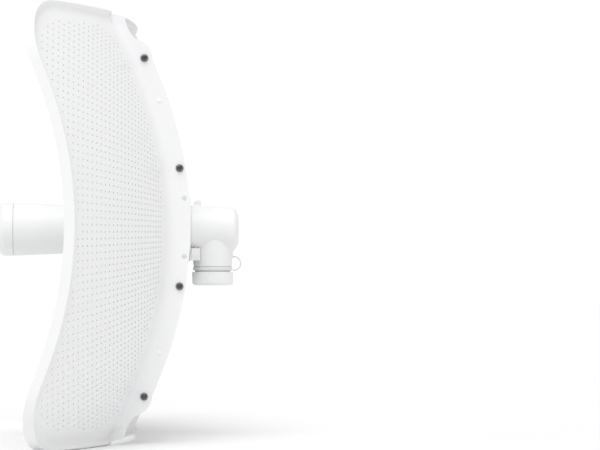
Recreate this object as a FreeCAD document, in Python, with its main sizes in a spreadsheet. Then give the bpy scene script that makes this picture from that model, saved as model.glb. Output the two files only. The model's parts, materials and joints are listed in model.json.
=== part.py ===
"""Outdoor wireless bridge: a three-piece dish, a feed tube with its radio, and a rear housing.

Millimetres. X is the width, the beam points to -Y, +Z is up, and the origin is the dish's vertex.
Left is +X and right is -X, as seen from behind the dish.
"""
import FreeCAD
import Part
import Sketcher
import math
import os
from types import SimpleNamespace

from FreeCAD import Placement, Rotation, Vector

# Driving dimensions: alias in the sheet, value. Radii and places are from the dish's axis or vertex.
DRIVING = {
    # dish
    "focal_length": 173.0,
    "sheet_gauge": 1.2,
    "skin_half_width": 270.0,
    "skin_half_height": 192.0,
    "skin_corner": 48.0,
    "lip_width": 10.0,
    "skirt_depth": 8.7,
    "joint_plane": 120.0,
    "flange_straight": 156.0,
    "flange_round_in": 5.4,
    "flange_round_up": 13.6,
    "flange_shoulder_in": 16.2,
    "flange_shoulder_up": 19.5,
    "flange_hollow_in": 21.7,
    "flange_hollow_up": 27.1,
    "flange_tip_in": 25.9,
    "flange_tip_up": 40.2,
    "shelf_height": 195.4,
    "shelf_back": 48.5,
    "shelf_focal": 300.0,
    "panel_opening": 22.0,
    # flange fasteners: height above and below the axis, and inset from the flange's back edge
    "mount_hole_height": 27.0,
    "mount_hole_inset": 4.6,
    "mount_hole_radius": 2.6,
    "inner_screw_height": 55.0,
    "inner_screw_inset": 5.6,
    "outer_screw_height": 157.5,
    "outer_screw_inset": 7.0,
    "dimple_height": 117.5,
    "dimple_inset": 9.0,
    "dimple_radius": 3.4,
    "dimple_rise": 1.0,
    "screw_radius": 1.5,
    "screw_hole_radius": 1.7,
    "screw_head_radius": 3.0,
    "screw_head_rise": 2.3,
    "washer_radius": 3.8,
    "washer_gauge": 0.6,
    "nut_across_flats": 5.5,
    "nut_height": 2.4,
    "thread_tail": 1.4,
    # feed tube and cap
    "tube_wall": 2.0,
    "tube_front": 168.0,
    "tube_front_radius": 25.8,
    "tube_waist": 119.0,
    "tube_waist_radius": 23.7,
    "tube_rear_radius": 21.3,
    "tube_shoulder": 6.4,
    "stub_radius": 18.8,
    "stub_bore": 16.6,
    "stub_end": 13.0,
    "cap_tip": 182.3,
    "cap_chamfer": 4.3,
    "cap_plug_radius": 23.3,
    "cap_bore": 21.4,
    "cap_plug_depth": 8.0,
    "seal_width": 1.8,
    "seal_depth": 1.0,
    # hub and collar
    "collar_radius": 33.0,
    "collar_front": 6.0,
    "hub_bore": 18.9,
    "hub_radius": 20.9,
    "hub_flange_radius": 31.0,
    "hub_flange_back": 3.0,
    "hub_end": 14.0,
    "hub_screw_circle": 27.0,
    "hub_screw_radius": 1.4,
    # rear housing
    "housing_front": 3.1,
    "housing_front_radius": 23.4,
    "housing_bore": 21.0,
    "housing_chamfer_start": 45.0,
    "housing_chamfer_radius": 21.3,
    "housing_end": 49.7,
    "housing_end_radius": 13.3,
    "elbow_axis": 24.9,
    "elbow_radius": 19.6,
    "elbow_low_radius": 18.6,
    "elbow_taper_start": 24.0,
    "elbow_shoulder": 36.3,
    "neck_radius": 17.2,
    "neck_bore": 15.2,
    "neck_end": 50.0,
    # screw cap, tether and latch
    "port_cap_top": 41.5,
    "port_cap_bottom": 54.5,
    "port_cap_radius": 19.9,
    "port_cap_bore": 17.6,
    "port_cap_round": 3.0,
    "ring_top": 36.6,
    "ring_bottom": 39.9,
    "ring_radius": 19.1,
    "strap_radius": 0.6,
    "strap_bend": 6.6,
    "strap_centre_y": 45.6,
    "strap_centre_z": 33.2,
    "latch_y": 7.7,
    "latch_width": 8.6,
    "latch_height": 11.9,
    "latch_depth": 7.0,
    "latch_angle": 52.0,
    "latch_pad_distance": 31.0,
    "latch_pin_radius": 1.5,
    "latch_pin_tip": 17.2,
    # feed, at the dish's focus
    "plate_setback": 9.0,
    "plate_radius": 20.0,
    "patch_gap": 7.0,
    "patch_radius": 18.0,
    "feed_gauge": 0.8,
    "spacer_radius": 1.5,
    "spacer_circle": 15.0,
    "bulkhead_gap": 3.5,
    "bulkhead_radius": 22.3,
    "bulkhead_depth": 3.0,
    # boards
    "tray_half_width": 16.0,
    "tray_depth": 3.4,
    "window_half_width": 10.5,
    "window_front": 135.0,
    "window_rear": 3.0,
    "screw_row": 12.2,
    "screw_front": 138.0,
    "screw_rear": 2.0,
    "tongue_half_width": 7.0,
    "feed_tongue_half_width": 4.0,
    "shield_half_width": 11.0,
    "shield_front": 62.0,
    "shield_rear": 14.0,
    "shield_rise": 6.0,
    "shield_wall": 0.5,
    "spreader_half_width": 10.0,
    "spreader_margin": 4.0,
    "spreader_gauge": 1.6,
    "fin_gauge": 1.2,
    "fin_rise": 3.8,
    "port_board_half_width": 13.0,
    "socket_half_width": 9.0,
    "socket_top": 5.0,
    "socket_rear": 22.6,
    "slot_half_width": 7.4,
    "slot_rear": 20.6,
    "jack_half_width": 8.0,
    "jack_half_depth": 7.0,
    "jack_height": 19.0,
    "plug_half_width": 6.0,
    "plug_front": 5.2,
    "plug_rear": 2.8,
    "plug_depth": 14.0,
    "catch_half_width": 2.0,
    "catch_depth": 8.0,
    "switch_y": 36.6,
    "switch_half_width": 2.6,
    "switch_height": 3.6,
    "button_radius": 1.5,
    "button_reach": 5.1,
    "board_gauge": 1.6,
    "board_half_width": 14.0,
    "board_front": 146.5,
    "board_rear": 12.5,
    "tongue_end": 20.0,
    "port_board_top": 10.0,
    "port_board_front": 14.6,
    "port_board_rear": 43.5,
}


class Size:
    """A number together with the spreadsheet formula that gives it."""

    def __init__(self, value, formula):
        self.value = float(value)
        self.formula = formula

    @staticmethod
    def of(other):
        """Return other as a Size, whether it is one or a plain number."""
        return other if isinstance(other, Size) else Size(other, f"({float(other)})")

    def __add__(self, other):
        other = Size.of(other)
        return Size(self.value + other.value, f"({self.formula} + {other.formula})")

    def __sub__(self, other):
        other = Size.of(other)
        return Size(self.value - other.value, f"({self.formula} - {other.formula})")

    def __mul__(self, other):
        other = Size.of(other)
        return Size(self.value * other.value, f"({self.formula} * {other.formula})")

    def __truediv__(self, other):
        other = Size.of(other)
        return Size(self.value / other.value, f"({self.formula} / {other.formula})")

    def __radd__(self, other):
        return Size.of(other) + self

    def __rsub__(self, other):
        return Size.of(other) - self

    def __rmul__(self, other):
        return Size.of(other) * self

    def __neg__(self):
        return Size(-self.value, f"(-{self.formula})")


def make_sheet(doc):
    """Put the driving dimensions in a spreadsheet and return them as named sizes."""
    sheet = doc.addObject("Spreadsheet::Sheet", "sizes")
    for row, (alias, value) in enumerate(DRIVING.items(), start=1):
        sheet.set(f"A{row}", alias)
        sheet.set(f"B{row}", str(value))
        sheet.setAlias(f"B{row}", alias)
    doc.recompute()
    return SimpleNamespace(**{alias: Size(getattr(sheet, alias), f"sizes.{alias}") for alias in DRIVING})


# Helpers for features whose sizes are bound to the sheet


def bind(target, prop, size):
    """Tie one property of a document object to the formula of a size."""
    target.setExpression(prop, Size.of(size).formula)


def new_body(doc, name):
    """Start a PartDesign body whose label names its node."""
    body = doc.addObject("PartDesign::Body", name)
    body.Label = name
    return body


def new_sketch(body, plane, offset=0.0):
    """Attach a sketch to one of its body's origin planes, moved along the plane's normal."""
    sketch = body.newObject("Sketcher::SketchObject", f"{body.Name}_outline")
    support = next(item for item in body.Origin.OriginFeatures if item.Role == plane)
    sketch.AttachmentSupport = [(support, "")]
    sketch.MapMode = "FlatFace"
    bind(sketch, "AttachmentOffset.Base.z", offset)
    return sketch


def draw_outline(sketch, corners):
    """Close an outline of straight edges through corners, each an (across, up) pair of sizes."""
    points = [(Size.of(across), Size.of(up)) for across, up in corners]
    following = points[1:] + points[:1]
    for (across, up), (next_across, next_up) in zip(points, following):
        start = Vector(across.value, up.value, 0)
        end = Vector(next_across.value, next_up.value, 0)
        sketch.addGeometry(Part.LineSegment(start, end), False)
    for index in range(len(points)):
        joined = (index + 1) % len(points)
        sketch.addConstraint(Sketcher.Constraint("Coincident", index, 2, joined, 1))
    for index, point in enumerate(points):
        for kind, size in zip(("DistanceX", "DistanceY"), point):
            number = sketch.addConstraint(Sketcher.Constraint(kind, -1, 1, index, 1, size.value))
            bind(sketch, f"Constraints[{number}]", size)


def add_turned(body, corners, plane="XY_Plane", offset=0.0, cut=False):
    """Revolve an outline about its sketch's upright axis, as a boss or as a groove."""
    sketch = new_sketch(body, plane, offset)
    draw_outline(sketch, corners)
    kind = "Groove" if cut else "Revolution"
    feature = body.newObject(f"PartDesign::{kind}", f"{body.Name}_{kind.lower()}")
    feature.Profile = sketch
    feature.ReferenceAxis = (sketch, ["V_Axis"])
    feature.Angle = 360.0
    return feature


def add_pad(body, corners, length, plane, offset=0.0):
    """Extrude an outline along its plane's normal, starting at an offset from the plane."""
    sketch = new_sketch(body, plane, offset)
    draw_outline(sketch, corners)
    feature = body.newObject("PartDesign::Pad", f"{body.Name}_pad")
    feature.Profile = sketch
    bind(feature, "Length", length)
    return feature


def rectangle(low_across, low_up, high_across, high_up):
    """Return the four corners of a rectangle."""
    return [(low_across, low_up), (high_across, low_up), (high_across, high_up), (low_across, high_up)]


def turned_body(doc, name, corners, plane="XY_Plane", offset=0.0):
    """Return a body made of one revolved outline."""
    body = new_body(doc, name)
    add_turned(body, corners, plane, offset)
    return body


def add_fillet(doc, body, base, radius, wanted):
    """Round the edges of a feature for which wanted(edge) holds."""
    doc.recompute()
    names = [f"Edge{number}" for number, edge in enumerate(base.Shape.Edges, start=1) if wanted(edge)]
    fillet = body.newObject("PartDesign::Fillet", f"{body.Name}_fillet")
    fillet.Base = (base, names)
    bind(fillet, "Radius", radius)
    return fillet


def add_box(doc, name, low, high):
    """Return a box between two corners, with its sides and its place bound to sizes."""
    box = doc.addObject("Part::Box", name)
    for prop, axis, start, end in zip(("Length", "Width", "Height"), "xyz", low, high):
        bind(box, prop, Size.of(end) - start)
        bind(box, f"Placement.Base.{axis}", start)
    return box


def add_cylinder(doc, name, radius, length, start, direction):
    """Return a round bar that runs from a start point along a direction."""
    bar = doc.addObject("Part::Cylinder", name)
    bar.Placement = Placement(Vector(0, 0, 0), Rotation(Vector(0, 0, 1), direction))
    bind(bar, "Radius", radius)
    bind(bar, "Height", length)
    for axis, place in zip("xyz", start):
        bind(bar, f"Placement.Base.{axis}", place)
    return bar


def fuse(doc, name, shapes):
    """Join document objects into one."""
    joined = doc.addObject("Part::MultiFuse", name)
    joined.Shapes = shapes
    return joined


def cut(doc, name, base, tools):
    """Cut tools out of a base."""
    rest = doc.addObject("Part::Cut", name)
    rest.Base = base
    rest.Tool = tools[0] if len(tools) == 1 else fuse(doc, f"{name}_tools", tools)
    return rest


def add_shape(doc, name, shape):
    """Hold a shape made by Part's own functions as a document object."""
    feature = doc.addObject("Part::Feature", name)
    feature.Shape = shape
    feature.Placement = Placement()
    return feature


# Dish


class Dish:
    """Plain numbers of the dish, read from the sheet, and the shapes that its panels share."""

    def __init__(self, s):
        self.focal = s.focal_length.value
        self.gauge = s.sheet_gauge.value
        self.half_width = s.skin_half_width.value
        self.half_height = s.skin_half_height.value
        self.corner = s.skin_corner.value
        self.lip = s.lip_width.value
        self.skirt = s.skirt_depth.value
        self.joint = s.joint_plane.value
        self.straight = s.flange_straight.value
        self.fasteners = flange_places(s)
        self.sizes = s

    def depth(self, across, up):
        """Return Y of the reflecting surface at a distance from the axis."""
        return -(across**2 + up**2) / (4 * self.focal)

    def slab(self):
        """Return the round paraboloid sheet that the panels' skins are cut from."""
        reach = math.hypot(self.half_width, self.half_height) + self.lip
        rim = self.depth(reach, 0)
        edges = []
        for back in (0, self.gauge):
            parabola = Part.BezierCurve()
            parabola.setPoles([Vector(0, back, 0), Vector(reach / 2, back, 0), Vector(reach, rim + back, 0)])
            edges.append(parabola.toShape())
        edges.append(Part.LineSegment(Vector(0, 0, 0), Vector(0, self.gauge, 0)).toShape())
        edges.append(Part.LineSegment(Vector(reach, rim, 0), Vector(reach, rim + self.gauge, 0)).toShape())
        face = Part.Face(Part.Wire(Part.__sortEdges__(edges)))
        return face.revolve(Vector(0, 0, 0), Vector(0, 1, 0), 360)

    def wing_blank(self):
        """Return the wing's front outline, with its two rounded corners, as a deep prism."""
        right = self.half_width
        top = self.half_height
        inset = self.corner * (1 - math.sqrt(0.5))
        front = 2 * self.depth(right, top)

        def at(across, up):
            return Vector(across, front, up)

        upper_arc = Part.Arc(at(right - self.corner, top), at(right - inset, top - inset),
                             at(right, top - self.corner))
        lower_arc = Part.Arc(at(right, self.corner - top), at(right - inset, inset - top),
                             at(right - self.corner, -top))
        edges = [
            Part.LineSegment(at(self.joint, -top), at(self.joint, top)),
            Part.LineSegment(at(self.joint, top), at(right - self.corner, top)),
            upper_arc,
            Part.LineSegment(at(right, top - self.corner), at(right, self.corner - top)),
            lower_arc,
            Part.LineSegment(at(right - self.corner, -top), at(self.joint, -top)),
        ]
        wire = Part.Wire([edge.toShape() for edge in edges])
        return Part.Face(wire).extrude(Vector(0, -2 * front, 0))

    def lip_section(self, across, up, normal):
        """Return the rim's section: a flare along the outward normal, then a skirt to the front.

        The flare starts inside the skin's edge and stands a little forward of it, so that the two
        join across their thickness.
        """
        overlap = self.gauge / 3
        y = self.depth(across, up) - self.gauge / 6
        steps = [
            (-overlap, 0),
            (self.lip - self.gauge, 0),
            (self.lip - self.gauge, -self.skirt),
            (self.lip, -self.skirt),
            (self.lip, self.gauge),
            (-overlap, self.gauge),
        ]
        corners = [Vector(across + out * normal.x, y + back, up + out * normal.z) for out, back in steps]
        return Part.makePolygon(corners + corners[:1])

    def lip_run(self, stations):
        """Loft the rim's section through stations, each (across, up, outward normal)."""
        return Part.makeLoft([self.lip_section(*station) for station in stations], True, False)

    def straight_lip(self, start, end, normal):
        """Return a straight run of the rim between two (across, up) points."""
        steps = 6
        stations = []
        for step in range(steps + 1):
            share = step / steps
            across = start[0] + (end[0] - start[0]) * share
            up = start[1] + (end[1] - start[1]) * share
            stations.append((across, up, normal))
        return self.lip_run(stations)

    def corner_lip(self, upward):
        """Return the rim round a wing's upper corner (upward 1) or lower corner (upward -1)."""
        steps = 6
        stations = []
        for step in range(steps + 1):
            angle = math.pi / 2 * step / steps
            normal = Vector(math.cos(angle), 0, upward * math.sin(angle))
            across = self.half_width - self.corner + self.corner * normal.x
            up = upward * (self.half_height - self.corner) + self.corner * normal.z
            stations.append((across, up, normal))
        return self.lip_run(stations)

    def flange(self, plane, thickness):
        """Return the back flange: from the fold to a parabolic back edge, with S-shaped ends.

        Near each end the back edge turns in over a round shoulder, runs through a hollow and meets
        the rim's lip.
        """
        fold = self.depth(self.joint, 0) + self.gauge / 2
        end = self.half_height + self.lip * 0.8
        edge_end = self.depth(0, self.straight)

        def at(y, up):
            return Vector(plane, y, up)

        def parabola(offset, reach):
            curve = Part.BezierCurve()
            low = self.depth(0, reach) + offset
            curve.setPoles([at(low, -reach), at(offset - (low - offset), 0), at(low, reach)])
            return curve

        edges = [parabola(0, self.straight), parabola(fold, end)]
        def turn(name, side):
            back = getattr(self.sizes, f"flange_{name}_in").value
            up = getattr(self.sizes, f"flange_{name}_up").value
            return at(edge_end - back, side * (self.straight + up))

        for side in (1, -1):
            edges.append(Part.Arc(at(edge_end, side * self.straight), turn("round", side), turn("shoulder", side)))
            edges.append(Part.Arc(turn("shoulder", side), turn("hollow", side), turn("tip", side)))
            lip_corner = at(self.depth(0, end) + fold, side * end)
            edges.append(Part.LineSegment(turn("tip", side), lip_corner))
        wire = Part.Wire(Part.__sortEdges__([edge.toShape() for edge in edges]))
        return Part.Face(wire).extrude(Vector(thickness, 0, 0))

    def shelf(self, side):
        """Return the centre panel's edge that is turned to the back: above (side 1) or below (-1)."""
        reach = self.joint - self.gauge / 2
        low = self.sizes.shelf_height.value - self.gauge
        front = self.depth(0, self.sizes.shelf_height.value) + self.gauge / 2
        back = -self.sizes.shelf_back.value
        edges = []
        ends = []
        for middle, focal in ((front, self.focal), (back, self.sizes.shelf_focal.value)):
            fall = reach**2 / (4 * focal)
            curve = Part.BezierCurve()
            corners = [Vector(-reach, middle - fall, low), Vector(reach, middle - fall, low)]
            curve.setPoles([corners[0], Vector(0, middle + fall, low), corners[1]])
            edges.append(curve)
            ends.append(corners)
        for number in (0, 1):
            edges.append(Part.LineSegment(ends[0][number], ends[1][number]))
        wire = Part.Wire(Part.__sortEdges__([edge.toShape() for edge in edges]))
        upper = Part.Face(wire).extrude(Vector(0, 0, self.gauge))
        return upper if side > 0 else upper.mirror(Vector(0, 0, 0), Vector(0, 0, 1))

    def flange_holes(self, side):
        """Return the drills for one flange's screws and mounting holes: side 1 is left, -1 is right."""
        reach = 8.0
        drills = []
        for kind, y, up in self.fasteners:
            radius = self.sizes.mount_hole_radius if kind == "mount" else self.sizes.screw_hole_radius
            if kind != "dimple":
                start = Vector(side * self.joint - reach, y, up)
                drills.append(Part.makeCylinder(radius.value, 2 * reach, start, Vector(1, 0, 0)))
        return drills


def flange_places(s):
    """Return (kind, Y, Z) of every hole and dimple in a flange."""
    rows = (
        ("mount", s.mount_hole_height, s.mount_hole_inset),
        ("screw", s.inner_screw_height, s.inner_screw_inset),
        ("dimple", s.dimple_height, s.dimple_inset),
        ("screw", s.outer_screw_height, s.outer_screw_inset),
    )
    places = []
    for kind, height, inset in rows:
        y = -height.value**2 / (4 * s.focal_length.value) - inset.value
        places.extend((kind, y, side * height.value) for side in (1, -1))
    return places


def make_wing(doc, dish):
    """Make the left wing: skin, rim lip and the flange that is screwed to the centre panel."""
    skin = dish.slab().common(dish.wing_blank())
    right = dish.half_width
    top = dish.half_height
    corner = dish.corner
    lips = [dish.straight_lip((right, corner - top), (right, top - corner), Vector(1, 0, 0))]
    for side in (1, -1):
        start = (dish.joint, side * top)
        end = (right - corner, side * top)
        lips.append(dish.straight_lip(start, end, Vector(0, 0, side)))
        lips.append(dish.corner_lip(side))
    solid = skin.multiFuse(lips + [dish.flange(dish.joint, dish.gauge)] + dimples(dish))
    solid = solid.cut(dish.flange_holes(1))
    return add_shape(doc, "left_wing_reflector", solid.removeSplitter())


def dimples(dish):
    """Return the domes pressed out of a wing's flange between its screws."""
    radius = dish.sizes.dimple_radius.value
    rise = dish.sizes.dimple_rise.value
    ball = (radius**2 + rise**2) / (2 * rise)
    face = dish.joint + dish.gauge
    domes = []
    for kind, y, up in dish.fasteners:
        if kind == "dimple":
            sphere = Part.makeSphere(ball, Vector(face + rise - ball, y, up))
            keep = Part.makeBox(rise * 2, radius * 4, radius * 4,
                                Vector(face - rise / 2, y - radius * 2, up - radius * 2))
            domes.append(sphere.common(keep))
    return domes


def make_centre_panel(doc, dish):
    """Make the centre panel: skin, shelves above and below, two back flanges and the tube's opening."""
    wide = dish.joint
    top = dish.sizes.shelf_height.value
    deep = 2 * dish.depth(dish.half_width, top)
    blank = Part.makeBox(2 * wide, -2 * deep, 2 * top, Vector(-wide, deep, -top))
    skin = dish.slab().common(blank)
    pieces = [dish.flange(wide - dish.gauge, dish.gauge), dish.flange(-wide, dish.gauge)]
    pieces.extend(dish.shelf(side) for side in (1, -1))
    opening = Part.makeCylinder(dish.sizes.panel_opening.value, 40, Vector(0, -20, 0), Vector(0, 1, 0))
    screws = hub_screw_drills(dish.sizes, dish.sizes.hub_screw_radius.value + 0.2)
    drills = dish.flange_holes(1) + dish.flange_holes(-1) + screws
    solid = skin.multiFuse(pieces).cut(drills + [opening])
    return add_shape(doc, "center_reflector", solid.removeSplitter())


def mirrored(doc, name, original):
    """Return the mirror image of a piece on the other side of the dish."""
    doc.recompute()
    return add_shape(doc, name, original.Shape.mirror(Vector(0, 0, 0), Vector(1, 0, 0)))


# Flange fasteners


def make_flange_fasteners(doc, s):
    """Make the screws, washers and nuts of the left flange, then mirror them to the right."""
    face = s.joint_plane + s.sheet_gauge
    spots = [(y, up) for kind, y, up in flange_places(s) if kind == "screw"]
    screw = make_screw(doc, s)
    washer = cut(doc, "washer_model",
                 add_cylinder(doc, "washer_disc", s.washer_radius, s.washer_gauge, (face, 0, 0), Vector(1, 0, 0)),
                 [add_cylinder(doc, "washer_hole", s.screw_hole_radius, s.washer_gauge, (face, 0, 0),
                               Vector(1, 0, 0))])
    nut = make_nut(doc, s)
    doc.recompute()
    parts = []
    for plural, model in (("screws", screw), ("washers", washer), ("nuts", nut)):
        copies = []
        for y, up in spots:
            copy = model.Shape.copy()
            copy.translate(Vector(0, y, up))
            copies.append(copy)
        left = add_shape(doc, f"left_flange_{plural}", Part.makeCompound(copies))
        parts.extend([left, mirrored(doc, f"right_flange_{plural}", left)])
    return parts


def make_screw(doc, s):
    """Model one pan-head screw on the X axis, with a cross recess in its head."""
    seat = s.joint_plane + s.sheet_gauge + s.washer_gauge
    tail = s.joint_plane - s.sheet_gauge - s.nut_height - s.thread_tail
    body = new_body(doc, "screw_model")
    head = s.screw_head_radius
    top = seat + s.screw_head_rise
    head_outline = [
        (0, tail),
        (s.screw_radius, tail),
        (s.screw_radius, seat),
        (head, seat),
        (head, seat + s.screw_head_rise * 0.45),
        (head * 0.86, seat + s.screw_head_rise * 0.8),
        (head * 0.55, top),
        (0, top),
    ]
    add_turned(body, head_outline, "XZ_Plane")
    body.Placement = Placement(Vector(0, 0, 0), Rotation(Vector(0, 0, 1), Vector(1, 0, 0)))
    arm = head * 0.6
    half = head * 0.12
    floor = top - s.screw_head_rise * 0.45
    slots = [
        add_box(doc, "recess_flat", (floor, -arm, -half), (top + 1, arm, half)),
        add_box(doc, "recess_upright", (floor, -half, -arm), (top + 1, half, arm)),
    ]
    return cut(doc, "screw_with_recess", body, slots)


def make_nut(doc, s):
    """Model one hexagon nut on the X axis, against the inside of the flange."""
    start = s.joint_plane - s.sheet_gauge - s.nut_height
    prism = doc.addObject("Part::Prism", "nut_prism")
    prism.Polygon = 6
    prism.Placement = Placement(Vector(0, 0, 0), Rotation(Vector(0, 0, 1), Vector(1, 0, 0)))
    bind(prism, "Circumradius", s.nut_across_flats / math.sqrt(3))
    bind(prism, "Height", s.nut_height)
    bind(prism, "Placement.Base.x", start)
    bore = add_cylinder(doc, "nut_bore", s.screw_radius, s.nut_height, (start, 0, 0), Vector(1, 0, 0))
    return cut(doc, "nut_model", prism, [bore])


# Hub, tube and cap


def hub_screw_places(s):
    """Return (X, Z) of the four screws that clamp the hub."""
    reach = s.hub_screw_circle.value * math.sqrt(0.5)
    return [(across * reach, up * reach) for across in (1, -1) for up in (1, -1)]


def hub_screw_drills(s, radius):
    """Return drills for the hub's four screws, as plain shapes."""
    return [Part.makeCylinder(radius, 40, Vector(across, -20, up), Vector(0, 1, 0))
            for across, up in hub_screw_places(s)]


def drilled_for_hub(doc, s, name, body, radius):
    """Drill a body for the hub's four screws."""
    drills = [add_cylinder(doc, f"{name}_drill", radius, 40, (across, -20, up), Vector(0, 1, 0))
              for across, up in hub_screw_places(s)]
    return cut(doc, name, body, drills)


def panel_front(s, radius):
    """Return Y of the reflecting surface at a radius, as a size."""
    return -(Size.of(radius) * radius) / (4 * s.focal_length)


def make_front_collar(doc, s):
    """Make the collar that clamps the centre panel from the front and covers its opening."""
    bore = s.hub_bore + 0.3
    corners = [
        (bore, -s.collar_front),
        (s.collar_radius - 2.0, -s.collar_front),
        (s.collar_radius, -s.collar_front + 2.0),
        (s.collar_radius, panel_front(s, s.collar_radius) - 0.05),
        (s.panel_opening, panel_front(s, s.panel_opening) - 0.05),
        (bore, panel_front(s, s.panel_opening) - 0.05),
    ]
    body = turned_body(doc, "collar_ring", corners)
    return drilled_for_hub(doc, s, "front_collar", body, s.hub_screw_radius + 0.2)


def make_rear_hub(doc, s):
    """Make the hub behind the panel: a screw flange, and a sleeve that holds the tube's stub."""
    back = s.sheet_gauge + 0.05
    seal_end = s.hub_end - 1.4
    corners = [
        (s.hub_bore, panel_front(s, s.panel_opening) + back),
        (s.panel_opening, panel_front(s, s.panel_opening) + back),
        (s.hub_flange_radius, panel_front(s, s.hub_flange_radius) + back),
        (s.hub_flange_radius, s.hub_flange_back),
        (s.hub_radius, s.hub_flange_back),
        (s.hub_radius, seal_end - s.seal_width),
        (s.hub_radius - s.seal_depth, seal_end - s.seal_width),
        (s.hub_radius - s.seal_depth, seal_end),
        (s.hub_radius, seal_end),
        (s.hub_radius, s.hub_end),
        (s.hub_bore, s.hub_end),
    ]
    body = turned_body(doc, "hub_ring", corners)
    drilled = drilled_for_hub(doc, s, "hub_drilled", body, s.hub_screw_radius)
    return cut(doc, "rear_hub", drilled, [latch_drill(doc, s)])


def latch_drill(doc, s):
    """Return the drill that makes way for the latch's pin."""
    direction = latch_direction(s)
    return add_cylinder(doc, "latch_drill", s.latch_pin_radius + 0.25, 14.0,
                        (direction.x * 14.0, s.latch_y, direction.z * 14.0), direction)


def latch_direction(s):
    """Return the direction, out from the axis, in which the latch is pulled."""
    angle = math.radians(s.latch_angle.value)
    return Vector(math.cos(angle), 0, -math.sin(angle))


def ring(doc, name, inner, outer, low, high, plane="XY_Plane", offset=0.0):
    """Make a seal or ring of square section with trimmed corners."""
    trim = (outer - inner) * 0.25
    corners = [
        (inner, low + trim),
        (inner + trim, low),
        (outer - trim, low),
        (outer, low + trim),
        (outer, high - trim),
        (outer - trim, high),
        (inner + trim, high),
        (inner, high - trim),
    ]
    return turned_body(doc, name, corners, plane, offset)


def make_seals(doc, s):
    """Make the weather seals of the tube, the rear housing and the feed cap."""
    tube_seal_start = -s.tube_shoulder + 1.8
    hub_seal_end = s.hub_end - 1.4
    cap_seal_start = -s.tube_front + 2.4
    return [
        ring(doc, "tube_seal", s.stub_radius - s.seal_depth, s.hub_bore + 0.25,
             tube_seal_start + 0.05, tube_seal_start + s.seal_width - 0.05),
        ring(doc, "housing_seal", s.hub_radius - s.seal_depth, s.housing_bore - 0.02,
             hub_seal_end - s.seal_width + 0.05, hub_seal_end - 0.05),
        ring(doc, "feed_cap_seal", s.cap_plug_radius - s.seal_depth, s.cap_plug_radius + 0.2,
             cap_seal_start + 0.05, cap_seal_start + s.seal_width - 0.05),
    ]


def make_radio_tube(doc, s):
    """Make the tapering tube: open at the front for the cap, stepped at the rear for the hub."""
    seal_start = -s.tube_shoulder + 1.8
    corners = [
        (s.tube_front_radius, -s.tube_front),
        (s.tube_waist_radius, -s.tube_waist),
        (s.tube_rear_radius, -s.tube_shoulder),
        (s.stub_radius, -s.tube_shoulder),
        (s.stub_radius, seal_start),
        (s.stub_radius - s.seal_depth, seal_start),
        (s.stub_radius - s.seal_depth, seal_start + s.seal_width),
        (s.stub_radius, seal_start + s.seal_width),
        (s.stub_radius, s.stub_end),
        (s.stub_bore, s.stub_end),
        (s.stub_bore, -s.tube_shoulder - 2.0),
        (s.tube_rear_radius - s.tube_wall, -s.tube_shoulder - 4.0),
        (s.tube_waist_radius - s.tube_wall, -s.tube_waist),
        (s.tube_front_radius - s.tube_wall, -s.tube_front),
    ]
    body = turned_body(doc, "tube_shell", corners)
    return cut(doc, "radio_tube", body, [latch_drill(doc, s)])


def make_feed_cap(doc, s):
    """Make the cap on the tube's tip, with a plug that carries a seal."""
    seam = -s.tube_front - 0.15
    tip = -s.cap_tip
    plug_end = -s.tube_front + s.cap_plug_depth
    seal_start = -s.tube_front + 2.4
    corners = [
        (0, tip),
        (s.tube_front_radius - s.cap_chamfer * 1.4, tip),
        (s.tube_front_radius - s.cap_chamfer * 0.5, tip + s.cap_chamfer * 0.3),
        (s.tube_front_radius, tip + s.cap_chamfer),
        (s.tube_front_radius, seam),
        (s.cap_plug_radius, seam),
        (s.cap_plug_radius, seal_start),
        (s.cap_plug_radius - s.seal_depth, seal_start),
        (s.cap_plug_radius - s.seal_depth, seal_start + s.seal_width),
        (s.cap_plug_radius, seal_start + s.seal_width),
        (s.cap_plug_radius, plug_end),
        (s.cap_bore, plug_end),
        (s.cap_bore, tip + s.cap_chamfer),
        (s.cap_bore - 3.0, tip + s.tube_wall),
        (0, tip + s.tube_wall),
    ]
    return turned_body(doc, "feed_cap", corners)


def make_hub_screws(doc, s):
    """Make the four screws that clamp the collar, the panel and the hub together."""
    head = s.hub_screw_radius * 2
    seat = -s.collar_front
    corners = [
        (0, seat - 1.8),
        (head * 0.7, seat - 1.8),
        (head, seat - 1.0),
        (head, seat),
        (s.hub_screw_radius, seat),
        (s.hub_screw_radius, s.hub_flange_back),
        (0, s.hub_flange_back),
    ]
    model = turned_body(doc, "hub_screw_model", corners)
    socket = add_box(doc, "hub_screw_slot", (-0.4, seat - 3, -head * 0.6), (0.4, seat - 0.9, head * 0.6))
    slotted = cut(doc, "hub_screw_slotted", model, [socket])
    doc.recompute()
    copies = []
    for across, up in hub_screw_places(s):
        copy = slotted.Shape.copy()
        copy.translate(Vector(across, 0, up))
        copies.append(copy)
    return add_shape(doc, "hub_screws", Part.makeCompound(copies))


# Rear housing, port cap and latch


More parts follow.
